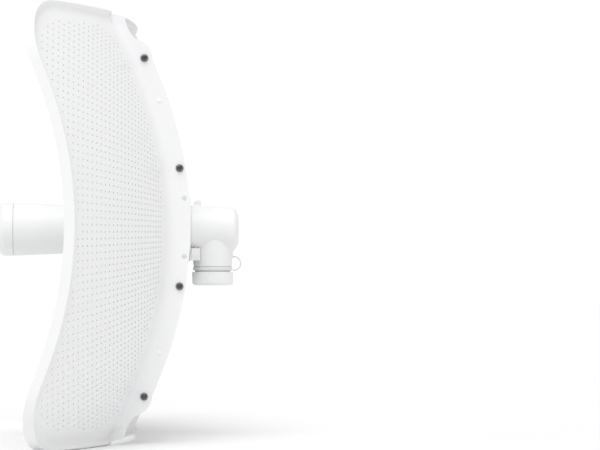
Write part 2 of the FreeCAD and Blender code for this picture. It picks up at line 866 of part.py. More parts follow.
def make_rear_housing(doc, s):
    """Make the rear housing: a tapered shell with an elbow down to the threaded port neck."""
    body = new_body(doc, "housing_shell")
    add_turned(body, [
        (0, s.housing_front),
        (s.housing_front_radius, s.housing_front),
        (s.housing_chamfer_radius, s.housing_chamfer_start),
        (s.housing_chamfer_radius - 1.9, s.housing_chamfer_start + 1.9),
        (s.housing_chamfer_radius - 4.8, s.housing_end - 1.0),
        (s.housing_end_radius, s.housing_end),
        (0, s.housing_end),
    ])
    add_turned(body, [
        (0, 0),
        (s.elbow_radius, 0),
        (s.elbow_radius, -s.elbow_taper_start),
        (s.elbow_low_radius, -s.elbow_shoulder),
        (s.neck_radius, -s.elbow_shoulder),
        (s.neck_radius, -s.neck_end),
        (0, -s.neck_end),
    ], "XZ_Plane", -s.elbow_axis)
    add_pad(body, [
        (s.latch_y - 0.9, 20.0),
        (s.latch_y - 0.9, 26.4),
        (s.latch_y + 1.1, 28.5),
        (s.latch_y + 5.0, 28.5),
        (s.latch_y + 5.9, 27.6),
        (s.latch_y + 5.9, 20.0),
    ], 6.0, "YZ_Plane", -3.0)
    add_turned(body, [
        (0, s.housing_front),
        (s.housing_bore, s.housing_front),
        (s.housing_bore, s.hub_end + 0.4),
        (s.housing_chamfer_radius - 2.2, s.housing_chamfer_start - 1.0),
        (s.housing_end_radius - 1.0, s.housing_end - 2.2),
        (0, s.housing_end - 2.2),
    ], cut=True)
    add_turned(body, [
        (0, -1.0),
        (s.neck_bore, -1.0),
        (s.neck_bore, -s.neck_end),
        (0, -s.neck_end),
    ], "XZ_Plane", -s.elbow_axis, cut=True)
    ledge_top = -s.port_board_top - s.board_gauge
    for start in (11.0, -16.6):
        add_pad(body, rectangle(18.0, ledge_top - 2.1, 40.0, ledge_top), 5.6, "YZ_Plane", start)
    anchor = add_cylinder(doc, "strap_anchor", s.strap_radius + 0.9, 2.2,
                          (0, s.elbow_axis + s.elbow_radius - 1.6, -s.strap_centre_z + s.strap_bend),
                          Vector(0, 1, 0))
    joined = fuse(doc, "housing_with_anchor", [body, anchor])
    return cut(doc, "rear_housing", joined, [latch_drill(doc, s)])


def make_port_cap(doc, s):
    """Make the screw cap that closes the port, rounded at its foot."""
    body = new_body(doc, "port_cap")
    cap = add_turned(body, [
        (0, -s.port_cap_bottom),
        (s.port_cap_radius, -s.port_cap_bottom),
        (s.port_cap_radius, -s.port_cap_top),
        (s.port_cap_bore, -s.port_cap_top),
        (s.port_cap_bore, -s.port_cap_bottom + 2.3),
        (0, -s.port_cap_bottom + 2.3),
    ], "XZ_Plane", -s.elbow_axis)
    foot = -s.port_cap_bottom.value
    outer = s.port_cap_radius.value

    def is_foot(edge):
        box = edge.BoundBox
        return abs(box.ZMax - foot) < 0.01 and box.XLength > 1.9 * outer

    add_fillet(doc, body, cap, s.port_cap_round, is_foot)
    return body


def make_port_rings(doc, s):
    """Make the cap's seal and the loose ring that ties the cap to the housing."""
    seal = ring(doc, "port_seal", s.neck_bore - 1.0, s.port_cap_bore - 0.02,
                -s.port_cap_bottom + 2.35, -s.neck_end - 0.1, "XZ_Plane", -s.elbow_axis)
    tether = ring(doc, "cap_tether_ring", s.neck_radius + 0.3, s.ring_radius,
                  -s.ring_bottom, -s.ring_top, "XZ_Plane", -s.elbow_axis)
    return [seal, tether]


def make_tether_strap(doc, s):
    """Make the thin strap that bulges out behind the elbow, from its anchor down to the ring."""
    start_angle = math.radians(96)
    start = Vector(0, math.cos(start_angle), math.sin(start_angle))
    axis = Vector(-1, 0, 0)
    strap = doc.addObject("Part::Torus", "cap_tether_strap")
    strap.Placement = Placement(Vector(0, 0, 0), Rotation(start, axis.cross(start), axis, "ZXY"))
    bind(strap, "Radius1", s.strap_bend)
    bind(strap, "Radius2", s.strap_radius)
    bind(strap, "Placement.Base.y", s.strap_centre_y)
    bind(strap, "Placement.Base.z", -s.strap_centre_z)
    strap.Angle3 = 197
    return strap


def make_release_latch(doc, s):
    """Make the ribbed pad with the pin that locks the tube's stub in the hub."""
    direction = latch_direction(s)
    middle_x = s.latch_pad_distance * direction.x
    middle_z = s.latch_pad_distance * direction.z
    low = (middle_x - s.latch_depth / 2, s.latch_y - s.latch_width / 2, middle_z - s.latch_height / 2)
    high = (middle_x + s.latch_depth / 2, s.latch_y + s.latch_width / 2, middle_z + s.latch_height / 2)
    pieces = [add_box(doc, "latch_pad", low, high)]
    pieces.append(add_cylinder(doc, "latch_pin", s.latch_pin_radius, s.latch_pad_distance - s.latch_pin_tip,
                               (direction.x * s.latch_pin_tip, s.latch_y, direction.z * s.latch_pin_tip),
                               direction))
    ribs = 6
    pitch = s.latch_width / ribs
    for number in range(ribs):
        rib_start = low[1] + pitch * (number + 0.25)
        pieces.append(add_box(doc, "latch_rib", (high[0] - 0.1, rib_start, low[2] + 1.0),
                              (high[0] + 0.5, rib_start + pitch / 2, low[2] + s.latch_height * 0.55)))
    return fuse(doc, "release_latch", pieces)


# Feed and electronics


def feed_plate_front(s):
    """Return Y of the ground plate's front face."""
    return -s.cap_tip + s.plate_setback


def make_feed(doc, s):
    """Make the ground plate, the patch and the four spacers at the dish's focus."""
    plate_front = feed_plate_front(s)
    patch_front = plate_front + s.patch_gap
    circle = s.spacer_circle.value
    spots = [(circle * across, circle * up) for across, up in ((1, 0), (-1, 0), (0, 1), (0, -1))]
    plate = turned_body(doc, "feed_ground_plate",
                        rectangle(0, plate_front, s.plate_radius, plate_front + s.feed_gauge))
    disc = turned_body(doc, "patch_disc", rectangle(0, patch_front, s.patch_radius, patch_front + s.feed_gauge))
    holes = [add_cylinder(doc, "patch_hole", s.spacer_radius, 4, (across, patch_front - 1, up), Vector(0, 1, 0))
             for across, up in spots]
    patch = cut(doc, "feed_patch", disc, holes)
    post_front = plate_front + s.feed_gauge
    length = -s.board_front - s.bulkhead_gap - post_front
    post = add_cylinder(doc, "spacer_post", s.spacer_radius, length, (0, post_front, 0), Vector(0, 1, 0))
    doc.recompute()
    posts = []
    for across, up in spots:
        copy = post.Shape.copy()
        copy.translate(Vector(across, 0, up))
        posts.append(copy)
    return [plate, patch, add_shape(doc, "feed_spacers", Part.makeCompound(posts))]


def make_board_carrier(doc, s):
    """Make the tray under the radio board, with a round bulkhead that carries the feed."""
    bulkhead_front = -s.board_front - s.bulkhead_gap
    window_width = s.window_half_width
    slot_width = s.feed_tongue_half_width + 0.4
    tray = add_box(doc, "tray", (-s.tray_half_width, -s.board_front - 1.0, -s.tray_depth),
                   (s.tray_half_width, s.board_rear, 0))
    window = add_box(doc, "tray_window", (-window_width, -s.window_front, -s.tray_depth - 1),
                     (window_width, -s.window_rear, 1))
    bulkhead = add_cylinder(doc, "bulkhead", s.bulkhead_radius, s.bulkhead_depth, (0, bulkhead_front, 0),
                            Vector(0, 1, 0))
    slot = add_box(doc, "bulkhead_slot", (-slot_width, bulkhead_front - 1, -0.4),
                   (slot_width, -s.board_front + 0.5, s.board_gauge + 0.4))
    whole = fuse(doc, "tray_and_bulkhead", [tray, bulkhead])
    return cut(doc, "board_carrier", whole, [window, slot] + board_drills(doc, s, 1.1))


def board_screw_places(s):
    """Return (X, Y) of the radio board's four screws."""
    row = s.screw_row.value
    return [(across, y) for across in (row, -row) for y in (-s.screw_front.value, s.screw_rear.value)]


def board_drills(doc, s, radius):
    """Return upright drills for the radio board's screws."""
    return [add_cylinder(doc, "board_drill", radius, 10, (across, y, -6), Vector(0, 0, 1))
            for across, y in board_screw_places(s)]


def make_radio_board(doc, s):
    """Make the long board, with a tongue to the feed and one into the rear socket."""
    top = s.board_gauge
    main = add_box(doc, "board_main", (-s.board_half_width, -s.board_front, 0),
                   (s.board_half_width, s.board_rear, top))
    rear = add_box(doc, "board_rear_tongue", (-s.tongue_half_width, s.board_rear - 1, 0),
                   (s.tongue_half_width, s.tongue_end, top))
    front_end = feed_plate_front(s) + s.patch_gap + s.feed_gauge
    front = add_box(doc, "board_front_tongue", (-s.feed_tongue_half_width, front_end, 0),
                    (s.feed_tongue_half_width, -s.board_front + 1, top))
    whole = fuse(doc, "board_outline", [main, rear, front])
    return cut(doc, "radio_board", whole, board_drills(doc, s, 1.3))


def make_board_screws(doc, s):
    """Make the four small screws that hold the radio board to its carrier."""
    corners = [(0, -3.2), (1.1, -3.2), (1.1, s.board_gauge), (2.1, s.board_gauge), (2.1, s.board_gauge + 1.0),
               (1.5, s.board_gauge + 1.5), (0, s.board_gauge + 1.5)]
    model = turned_body(doc, "board_screw_model", corners, "XZ_Plane")
    doc.recompute()
    copies = []
    for across, y in board_screw_places(s):
        copy = model.Shape.copy()
        copy.translate(Vector(across, y, 0))
        copies.append(copy)
    return add_shape(doc, "board_screws", Part.makeCompound(copies))


def make_shield_and_spreader(doc, s):
    """Make the radio's shield can and the finned heat spreader on top of it."""
    wall = s.shield_wall
    wide = s.shield_half_width
    front = -s.shield_front
    rear = -s.shield_rear
    top = s.board_gauge + s.shield_rise
    outside = add_box(doc, "shield_outside", (-wide, front, s.board_gauge), (wide, rear, top))
    inside = add_box(doc, "shield_inside", (-wide + wall, front + wall, s.board_gauge - 1),
                     (wide - wall, rear - wall, top - wall))
    shield = cut(doc, "rf_shield", outside, [inside])
    fin_front = front + s.spreader_margin
    fin_rear = rear - s.spreader_margin
    base_top = top + s.spreader_gauge
    left = -s.spreader_half_width
    pieces = [add_box(doc, "spreader_base", (left, fin_front, top), (s.spreader_half_width, fin_rear, base_top))]
    gaps = 5
    pitch = (2 * s.spreader_half_width - s.fin_gauge) / gaps
    for number in range(gaps + 1):
        start = left + number * pitch
        pieces.append(add_box(doc, "spreader_fin", (start, fin_front, base_top - 0.1),
                              (start + s.fin_gauge, fin_rear, base_top + s.fin_rise)))
    return [shield, fuse(doc, "heat_spreader", pieces)]


def make_port_electronics(doc, s):
    """Make the rear board with its socket, the network jack and the reset switch under it."""
    under = -s.port_board_top - s.board_gauge
    board = add_box(doc, "port_board", (-s.port_board_half_width, s.port_board_front, under),
                    (s.port_board_half_width, s.port_board_rear, -s.port_board_top))
    block = add_box(doc, "socket_block", (-s.socket_half_width, s.port_board_front + 0.9, -s.port_board_top),
                    (s.socket_half_width, s.socket_rear, s.socket_top))
    slot = add_box(doc, "socket_slot", (-s.slot_half_width, s.port_board_front, -0.3),
                   (s.slot_half_width, s.slot_rear, s.board_gauge + 0.3))
    socket = cut(doc, "board_socket", block, [slot])
    foot = under - s.jack_height
    jack_block = add_box(doc, "jack_block", (-s.jack_half_width, s.elbow_axis - s.jack_half_depth, foot),
                         (s.jack_half_width, s.elbow_axis + s.jack_half_depth, under))
    cavity = add_box(doc, "jack_cavity", (-s.plug_half_width, s.elbow_axis - s.plug_front, foot - 1),
                     (s.plug_half_width, s.elbow_axis + s.plug_rear, foot + s.plug_depth))
    catch = add_box(doc, "jack_catch", (-s.catch_half_width, s.elbow_axis + 1.0, foot - 1),
                    (s.catch_half_width, s.elbow_axis + 5.0, foot + s.catch_depth))
    jack = cut(doc, "ethernet_jack", jack_block, [cavity, catch])
    wide = s.switch_half_width
    switch_foot = under - s.switch_height
    switch_block = add_box(doc, "switch_block", (-wide, s.switch_y - wide, switch_foot),
                           (wide, s.switch_y + wide, under))
    switch_bore = add_cylinder(doc, "switch_bore", s.button_radius + 0.2, 3.0, (0, s.switch_y, switch_foot),
                               Vector(0, 0, 1))
    switch = cut(doc, "reset_switch", switch_block, [switch_bore])
    button = add_cylinder(doc, "reset_button", s.button_radius, 4.0, (0, s.switch_y, under - s.button_reach),
                          Vector(0, 0, 1))
    return [board, socket, jack, switch, button]


def build(doc):
    """Build every sub-part and return them by node name."""
    s = make_sheet(doc)
    dish = Dish(s)
    wing = make_wing(doc, dish)
    parts = [make_centre_panel(doc, dish), wing, mirrored(doc, "right_wing_reflector", wing)]
    parts.extend(make_flange_fasteners(doc, s))
    parts.extend([make_front_collar(doc, s), make_rear_hub(doc, s), make_hub_screws(doc, s)])
    parts.extend(make_seals(doc, s))
    parts.extend([make_radio_tube(doc, s), make_feed_cap(doc, s), make_rear_housing(doc, s)])
    parts.extend([make_port_cap(doc, s), make_tether_strap(doc, s), make_release_latch(doc, s)])
    parts.extend(make_port_rings(doc, s))
    parts.extend(make_feed(doc, s))
    parts.extend([make_board_carrier(doc, s), make_radio_board(doc, s), make_board_screws(doc, s)])
    parts.extend(make_shield_and_spreader(doc, s))
    parts.extend(make_port_electronics(doc, s))
    return parts


def check(doc, parts):
    """Stop if any object failed to recompute or any sub-part is not made of sound closed solids."""
    for item in doc.Objects:
        if "Invalid" in item.State or "Error" in item.State:
            raise RuntimeError(f"{item.Name} failed: {item.State}")
    for part in parts:
        shape = part.Shape
        if shape.isNull() or not shape.isValid() or not shape.Solids:
            raise RuntimeError(f"{part.Name} has no valid shape")
        print(part.Name, "solids", len(shape.Solids), "volume", round(shape.Volume))


def write(parts):
    """Write each sub-part to its own STEP file."""
    os.makedirs("parts", exist_ok=True)
    for part in parts:
        part.Shape.exportStep(f"parts/{part.Label}.step")


def main():
    """Build, check and write the bridge."""
    doc = FreeCAD.newDocument("wireless_bridge")
    parts = build(doc)
    doc.recompute()
    check(doc, parts)
    write(parts)


main()
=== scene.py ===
"""Looks of the outdoor wireless bridge: pressed dish panels, fasteners, mouldings and their finishes."""
import json
import logging
import math
from dataclasses import dataclass, field
from enum import Enum
from typing import Any, Callable, Iterable, Iterator, Sequence

import bmesh
import bpy
from mathutils import Matrix, Vector
from mathutils.geometry import delaunay_2d_cdt


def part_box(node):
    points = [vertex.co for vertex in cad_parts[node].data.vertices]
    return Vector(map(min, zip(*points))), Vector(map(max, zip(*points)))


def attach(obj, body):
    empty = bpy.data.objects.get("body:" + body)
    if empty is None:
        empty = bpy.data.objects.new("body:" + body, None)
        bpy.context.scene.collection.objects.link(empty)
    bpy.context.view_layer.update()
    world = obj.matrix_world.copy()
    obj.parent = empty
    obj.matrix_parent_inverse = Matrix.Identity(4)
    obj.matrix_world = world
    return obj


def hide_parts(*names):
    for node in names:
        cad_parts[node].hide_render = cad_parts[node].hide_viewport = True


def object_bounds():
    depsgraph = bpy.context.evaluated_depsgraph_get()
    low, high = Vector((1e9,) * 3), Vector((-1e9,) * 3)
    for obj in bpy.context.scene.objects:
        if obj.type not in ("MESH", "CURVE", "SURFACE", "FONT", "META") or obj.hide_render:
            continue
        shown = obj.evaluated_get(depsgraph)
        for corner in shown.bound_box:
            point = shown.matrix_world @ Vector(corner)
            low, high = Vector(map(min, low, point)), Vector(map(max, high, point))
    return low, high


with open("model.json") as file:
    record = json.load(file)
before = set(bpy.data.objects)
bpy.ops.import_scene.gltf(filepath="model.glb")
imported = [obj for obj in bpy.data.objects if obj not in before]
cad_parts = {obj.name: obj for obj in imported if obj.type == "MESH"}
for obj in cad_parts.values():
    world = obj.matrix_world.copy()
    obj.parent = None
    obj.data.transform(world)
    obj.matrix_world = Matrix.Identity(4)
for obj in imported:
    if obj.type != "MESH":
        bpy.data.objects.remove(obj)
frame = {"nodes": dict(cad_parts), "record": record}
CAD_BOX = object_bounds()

logging.basicConfig(level=logging.INFO, format="%(message)s")
log = logging.getLogger("bridge")
MM = 0.001

Pair = tuple[float, float]
Colour = tuple[float, float, float]
Station = tuple[float, float, Vector]
Section = tuple[float, float, Vector, Vector]


# Node trees, in Python


def arithmetic(operation: str, reflected: bool = False) -> Callable[["Wire", Any], "Wire"]:
    """Return a method that adds a Math node, with its operands swapped if it is reflected."""

    def method(self: "Wire", other: Any) -> "Wire":
        """Combine the wire with another wire or a value."""
        first, second = (other, self) if reflected else (self, other)
        return self.net.math(operation, first, second)

    return method


@dataclass(frozen=True)
class Wire:
    """One output socket, with arithmetic that adds Math nodes; a comparison gives 1 or 0."""

    net: "Net"
    socket: bpy.types.NodeSocket

    __add__, __radd__ = arithmetic("ADD"), arithmetic("ADD", True)
    __sub__, __rsub__ = arithmetic("SUBTRACT"), arithmetic("SUBTRACT", True)
    __mul__, __rmul__ = arithmetic("MULTIPLY"), arithmetic("MULTIPLY", True)
    __truediv__, __rtruediv__ = arithmetic("DIVIDE"), arithmetic("DIVIDE", True)
    __lt__, __gt__ = arithmetic("LESS_THAN"), arithmetic("GREATER_THAN")


class Net:
    """A shader or geometry node tree that is written as expressions."""

    def __init__(self, tree: bpy.types.NodeTree) -> None:
        """Hold the tree to add nodes to."""
        self.tree = tree

    def set(self, socket: bpy.types.NodeSocket, value: Any) -> None:
        """Link a wire to an input socket, or give the socket a value."""
        if isinstance(value, Wire):
            self.tree.links.new(value.socket, socket)
        else:
            socket.default_value = value

    def node(self, kind: str, sockets: dict[Any, Any] | None = None, **settings: Any) -> bpy.types.Node:
        """Add a node.

        Args:
            kind: The node's type name.
            sockets: Values or wires by input name or number.
            **settings: Properties of the node, set before its sockets.

        Returns:
            The new node.
        """
        new = self.tree.nodes.new(kind)
        for name, value in settings.items():
            setattr(new, name, value)
        for key, value in (sockets or {}).items():
            self.set(new.inputs[key], value)
        return new

    def wire(self, kind: str, sockets: dict[Any, Any] | None = None, output: Any = 0,
             **settings: Any) -> Wire:
        """Add a node as node() does and return one of its outputs."""
        return Wire(self, self.node(kind, sockets, **settings).outputs[output])

    def math(self, operation: str, first: Any, second: Any = 0.0) -> Wire:
        """Add a Math node on values or wires."""
        return self.wire("ShaderNodeMath", {0: first, 1: second}, operation=operation)

    def split(self, vector: Wire) -> list[Wire]:
        """Return a vector's X, Y and Z."""
        return [Wire(self, part) for part in self.node("ShaderNodeSeparateXYZ", {0: vector}).outputs]

    def mix(self, factor: Wire, first: Wire | Colour, second: Wire | Colour) -> Wire:
        """Blend two colours by a factor."""
        blend = self.node("ShaderNodeMix", data_type="RGBA")
        for key, value in (("Factor", factor), ("A", first), ("B", second)):
            socket = next(item for item in blend.inputs if item.name == key and item.enabled)
            self.set(socket, value if isinstance(value, Wire) else (*value, 1.0))
        return Wire(self, next(item for item in blend.outputs if item.enabled))


def geometry_group(name: str, inputs: dict[str, str], output: str) -> tuple[Net, list[Wire]]:
    """Start a geometry node group.

    Args:
        name: The group's name.
        inputs: The kind of each input, such as Float, by its name.
        output: The name of the group's geometry output.

    Returns:
        The group's net, and a wire for each input.
    """
    group = bpy.data.node_groups.new(name, "GeometryNodeTree")
    for label, kind in inputs.items():
        group.interface.new_socket(label, in_out="INPUT", socket_type=f"NodeSocket{kind}")
    group.interface.new_socket(output, in_out="OUTPUT", socket_type="NodeSocketGeometry")
    net = Net(group)
    source = net.node("NodeGroupInput")
    return net, [Wire(net, source.outputs[number]) for number in range(len(inputs))]


def baked(holder: bpy.types.Object) -> bpy.types.Mesh:
    """Return an object's mesh with its modifiers applied, and remove the object."""
    graph = bpy.context.evaluated_depsgraph_get()
    mesh = bpy.data.meshes.new_from_object(holder.evaluated_get(graph))
    bpy.data.objects.remove(holder)
    return mesh


def run_group(holder: bpy.types.Object, group: bpy.types.NodeTree,
              values: dict[str, Any]) -> bpy.types.Mesh:
    """Return what a geometry node group makes of an object, and remove the object."""
    modifier = holder.modifiers.new("nodes", "NODES")
    modifier.node_group = group
    for item in group.interface.items_tree:
        if item.in_out == "INPUT" and item.name in values:
            modifier[item.identifier] = values[item.name]
    return baked(holder)


def shade(colour: Colour, share: float) -> Colour:
    """Return a colour with each channel multiplied."""
    return tuple(channel * share for channel in colour)


# Finishes


class Finish:
    """A material that is made once, when it is first asked for."""

    name: str

    def paint(self, net: Net) -> dict[str, Any]:
        """Add the finish's nodes and return what goes into its shader's sockets."""
        raise NotImplementedError

    def material(self) -> bpy.types.Material:
        """Return the finish's material."""
        if known := bpy.data.materials.get(self.name):
            return known
        made = bpy.data.materials.new(self.name)
        made.use_nodes = True
        net = Net(made.node_tree)
        shader = made.node_tree.nodes["Principled BSDF"]
        for key, value in self.paint(net).items():
            net.set(shader.inputs[key], value)
        return made

    @staticmethod
    def place(net: Net) -> Wire:
        """Return Object coordinates."""
        return net.wire("ShaderNodeTexCoord", output="Object")

    @classmethod
    def noise(cls, net: Net, size: float, detail: float = 2.0, roughness: float = 0.5) -> Wire:
        """Return noise whose lumps are about size metres wide."""
        return net.wire("ShaderNodeTexNoise", {"Vector": cls.place(net), "Scale": 1.0 / size,
                                               "Detail": detail, "Roughness": roughness}, "Fac")

    @staticmethod
    def bump(net: Net, height: Wire, strength: float, distance: float) -> Wire:
        """Return a normal that is disturbed by a height."""
        return net.wire("ShaderNodeBump", {"Height": height, "Strength": strength, "Distance": distance})


@dataclass(frozen=True)
class PowderCoat(Finish):
    """Satin powder coat on sheet metal: a fine orange peel, with faint cloudiness and dust."""

    name: str = "powder_coat_white"
    colour: Colour = (0.875, 0.878, 0.885)
    peel: float = 1.6 * MM
    roughness: float = 0.42

    def paint(self, net: Net) -> dict[str, Any]:
        """Add the coat's nodes."""
        peel = self.noise(net, self.peel, 3.0)
        cloud = self.noise(net, 60 * MM, 3.0)
        speck = self.noise(net, 0.5 * MM, 1.0)
        tone = 0.5 + 0.5 * (cloud * 0.7 + speck * 0.3)
        return {
            "Base Color": net.mix(tone, shade(self.colour, 0.965), self.colour),
            "Roughness": self.roughness + 0.10 * (cloud - 0.5) + 0.06 * (peel - 0.5),
            "Specular IOR Level": 0.45,
            "Normal": self.bump(net, peel, 0.10, 0.12 * MM),
        }


@dataclass(frozen=True)
class Moulding(Finish):
    """Moulded plastic with a fine eroded texture."""

    name: str
    colour: Colour
    roughness: float = 0.5
    grain: float = 0.45 * MM

    def paint(self, net: Net) -> dict[str, Any]:
        """Add the moulding's nodes."""
        grain = self.noise(net, self.grain, 2.0, 0.6)
        cloud = self.noise(net, 25 * MM, 2.0)
        return {
            "Base Color": net.mix(0.6 * cloud + 0.4 * grain, shade(self.colour, 0.93), self.colour),
            "Roughness": self.roughness + 0.08 * (cloud - 0.5) + 0.10 * (grain - 0.5),
            "Specular IOR Level": 0.42,
            "Normal": self.bump(net, grain, 0.16, 0.06 * MM),
        }


@dataclass(frozen=True)
class Metal(Finish):
    """Bare metal with a drawn grain along one axis and a slightly uneven polish."""

    name: str
    colour: Colour
    roughness: float = 0.3
    grain: tuple[float, float, float] = (1.0, 12.0, 12.0)

    def paint(self, net: Net) -> dict[str, Any]:
        """Add the metal's nodes."""
        stretched = net.wire("ShaderNodeMapping", {"Vector": self.place(net), "Scale": self.grain})
        streaks = net.wire("ShaderNodeTexNoise",
                           {"Vector": stretched, "Scale": 400.0, "Detail": 3.0}, "Fac")
        cloud = self.noise(net, 4 * MM, 2.0)
        return {
            "Base Color": net.mix(0.5 * cloud + 0.5 * streaks, shade(self.colour, 0.72), self.colour),
            "Metallic": 1.0,
            "Roughness": self.roughness + 0.18 * (streaks - 0.5) + 0.08 * (cloud - 0.5),
            "Normal": self.bump(net, streaks, 0.15, 0.05 * MM),
        }


@dataclass(frozen=True)
class Rubber(Finish):
    """Dull black seal rubber with a dusty bloom."""

    name: str = "seal_rubber_black"
    colour: Colour = (0.022, 0.022, 0.024)

    def paint(self, net: Net) -> dict[str, Any]:
        """Add the rubber's nodes."""
        grain = self.noise(net, 0.6 * MM, 3.0)
        bloom = self.noise(net, 6 * MM, 3.0)
        return {
            "Base Color": net.mix(0.35 * bloom, self.colour, shade(self.colour, 2.6)),
            "Roughness": 0.62 + 0.2 * (bloom - 0.5),
            "Normal": self.bump(net, grain, 0.2, 0.06 * MM),
        }


@dataclass(frozen=True)
class BoardMask(Finish):
    """Solder mask over copper tracks, with tinned pads in rows."""

    name: str = "solder_mask_green"
    mask: Colour = (0.012, 0.115, 0.05)
    track: Colour = (0.03, 0.2, 0.085)
    pad: Colour = (0.72, 0.7, 0.62)

    def paint(self, net: Net) -> dict[str, Any]:
        """Add the board's nodes."""
        across, along, _ = net.split(self.place(net))
        wander = self.noise(net, 9 * MM, 0.0)
        lane = net.math("FRACT", across / (1.3 * MM) + 3.0 * wander)
        tracks = (lane < 0.35) * (wander > 0.45)
        cell_x = net.math("FRACT", across / (2.54 * MM)) - 0.5
        cell_y = net.math("FRACT", along / (2.54 * MM)) - 0.5
        spot = (cell_x * cell_x + cell_y * cell_y) < 0.045
        pads = spot * (self.noise(net, 14 * MM, 0.0) > 0.56)
        green = net.mix(tracks, self.mask, self.track)
        return {
            "Base Color": net.mix(pads, green, self.pad),
            "Metallic": pads * 0.9,
            "Roughness": 0.3 + 0.1 * (self.noise(net, 3 * MM) - 0.5),
            "Normal": self.bump(net, tracks + pads, 0.3, 0.04 * MM),
        }


@dataclass(frozen=True)
class StudioFloor(Finish):
    """Plain pale floor with a barely visible mottle."""

    name: str = "studio_floor"

    def paint(self, net: Net) -> dict[str, Any]:
        """Add the floor's nodes."""
        mottle = self.noise(net, 0.4, 2.0)
        return {
            "Base Color": net.mix(mottle, (0.90, 0.90, 0.90), (0.94, 0.94, 0.94)),
            "Roughness": 0.75 + 0.1 * (mottle - 0.5),
        }


WHITE_COAT = PowderCoat()
WHITE_PLASTIC = Moulding("housing_plastic_white", (0.885, 0.888, 0.892), 0.46)
TETHER_PLASTIC = Moulding("tether_plastic_white", (0.78, 0.785, 0.79), 0.55)
DARK_PLASTIC = Moulding("inner_plastic_dark", (0.035, 0.035, 0.038), 0.5)
STAINLESS = Metal("stainless_steel", (0.42, 0.42, 0.44), 0.3)
SCREW_STEEL = Metal("screw_steel_dark", (0.15, 0.15, 0.16), 0.24)
TINPLATE = Metal("tinned_plate", (0.72, 0.73, 0.74), 0.34)
COPPER = Metal("bare_copper", (0.78, 0.42, 0.26), 0.28)
# Perforation walls: a darker grey that is painted shade inside each hole, on a rougher coat with a finer
# peel.
HOLE_SHADE_COAT = PowderCoat("hole_walls_painted_shade", (0.74, 0.743, 0.748), 0.8 * MM, 0.6)
SEAL_RUBBER = Rubber()
GREEN_BOARD = BoardMask()

SLOT_FINISH: dict[str, Finish] = {
    "painted_sheet": WHITE_COAT,
    "stainless": STAINLESS,
    "housing_plastic": WHITE_PLASTIC,
    "tether_plastic": TETHER_PLASTIC,
    "seal_rubber": SEAL_RUBBER,
    "inner_plastic": DARK_PLASTIC,
    "circuit_board": GREEN_BOARD,
    "tinned_metal": TINPLATE,
    "copper": COPPER,
}


# Meshes


def new_object(name: str, data: bpy.types.ID) -> bpy.types.Object:
    """Put a mesh, lamp or camera in the scene as an object at the origin."""
    made = bpy.data.objects.new(name, data)
    bpy.context.scene.collection.objects.link(made)
    return made


def settle(piece: bpy.types.Object, body: str, slot: str, nodes: Sequence[str] = ()) -> None:
    """Hand a finished piece to the frame.

    Args:
        piece: The object, with its place in its mesh.
        body: The CAD body that it moves with.
        slot: The record's material slot.
        nodes: The CAD nodes that it stands for.
    """
    if not piece.data.materials:
        piece.data.materials.append(SLOT_FINISH[slot].material())
    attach(piece, body)
    if nodes:
        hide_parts(*nodes)
    log.info("piece %s: %d faces on %s", piece.name, len(piece.data.polygons), body)


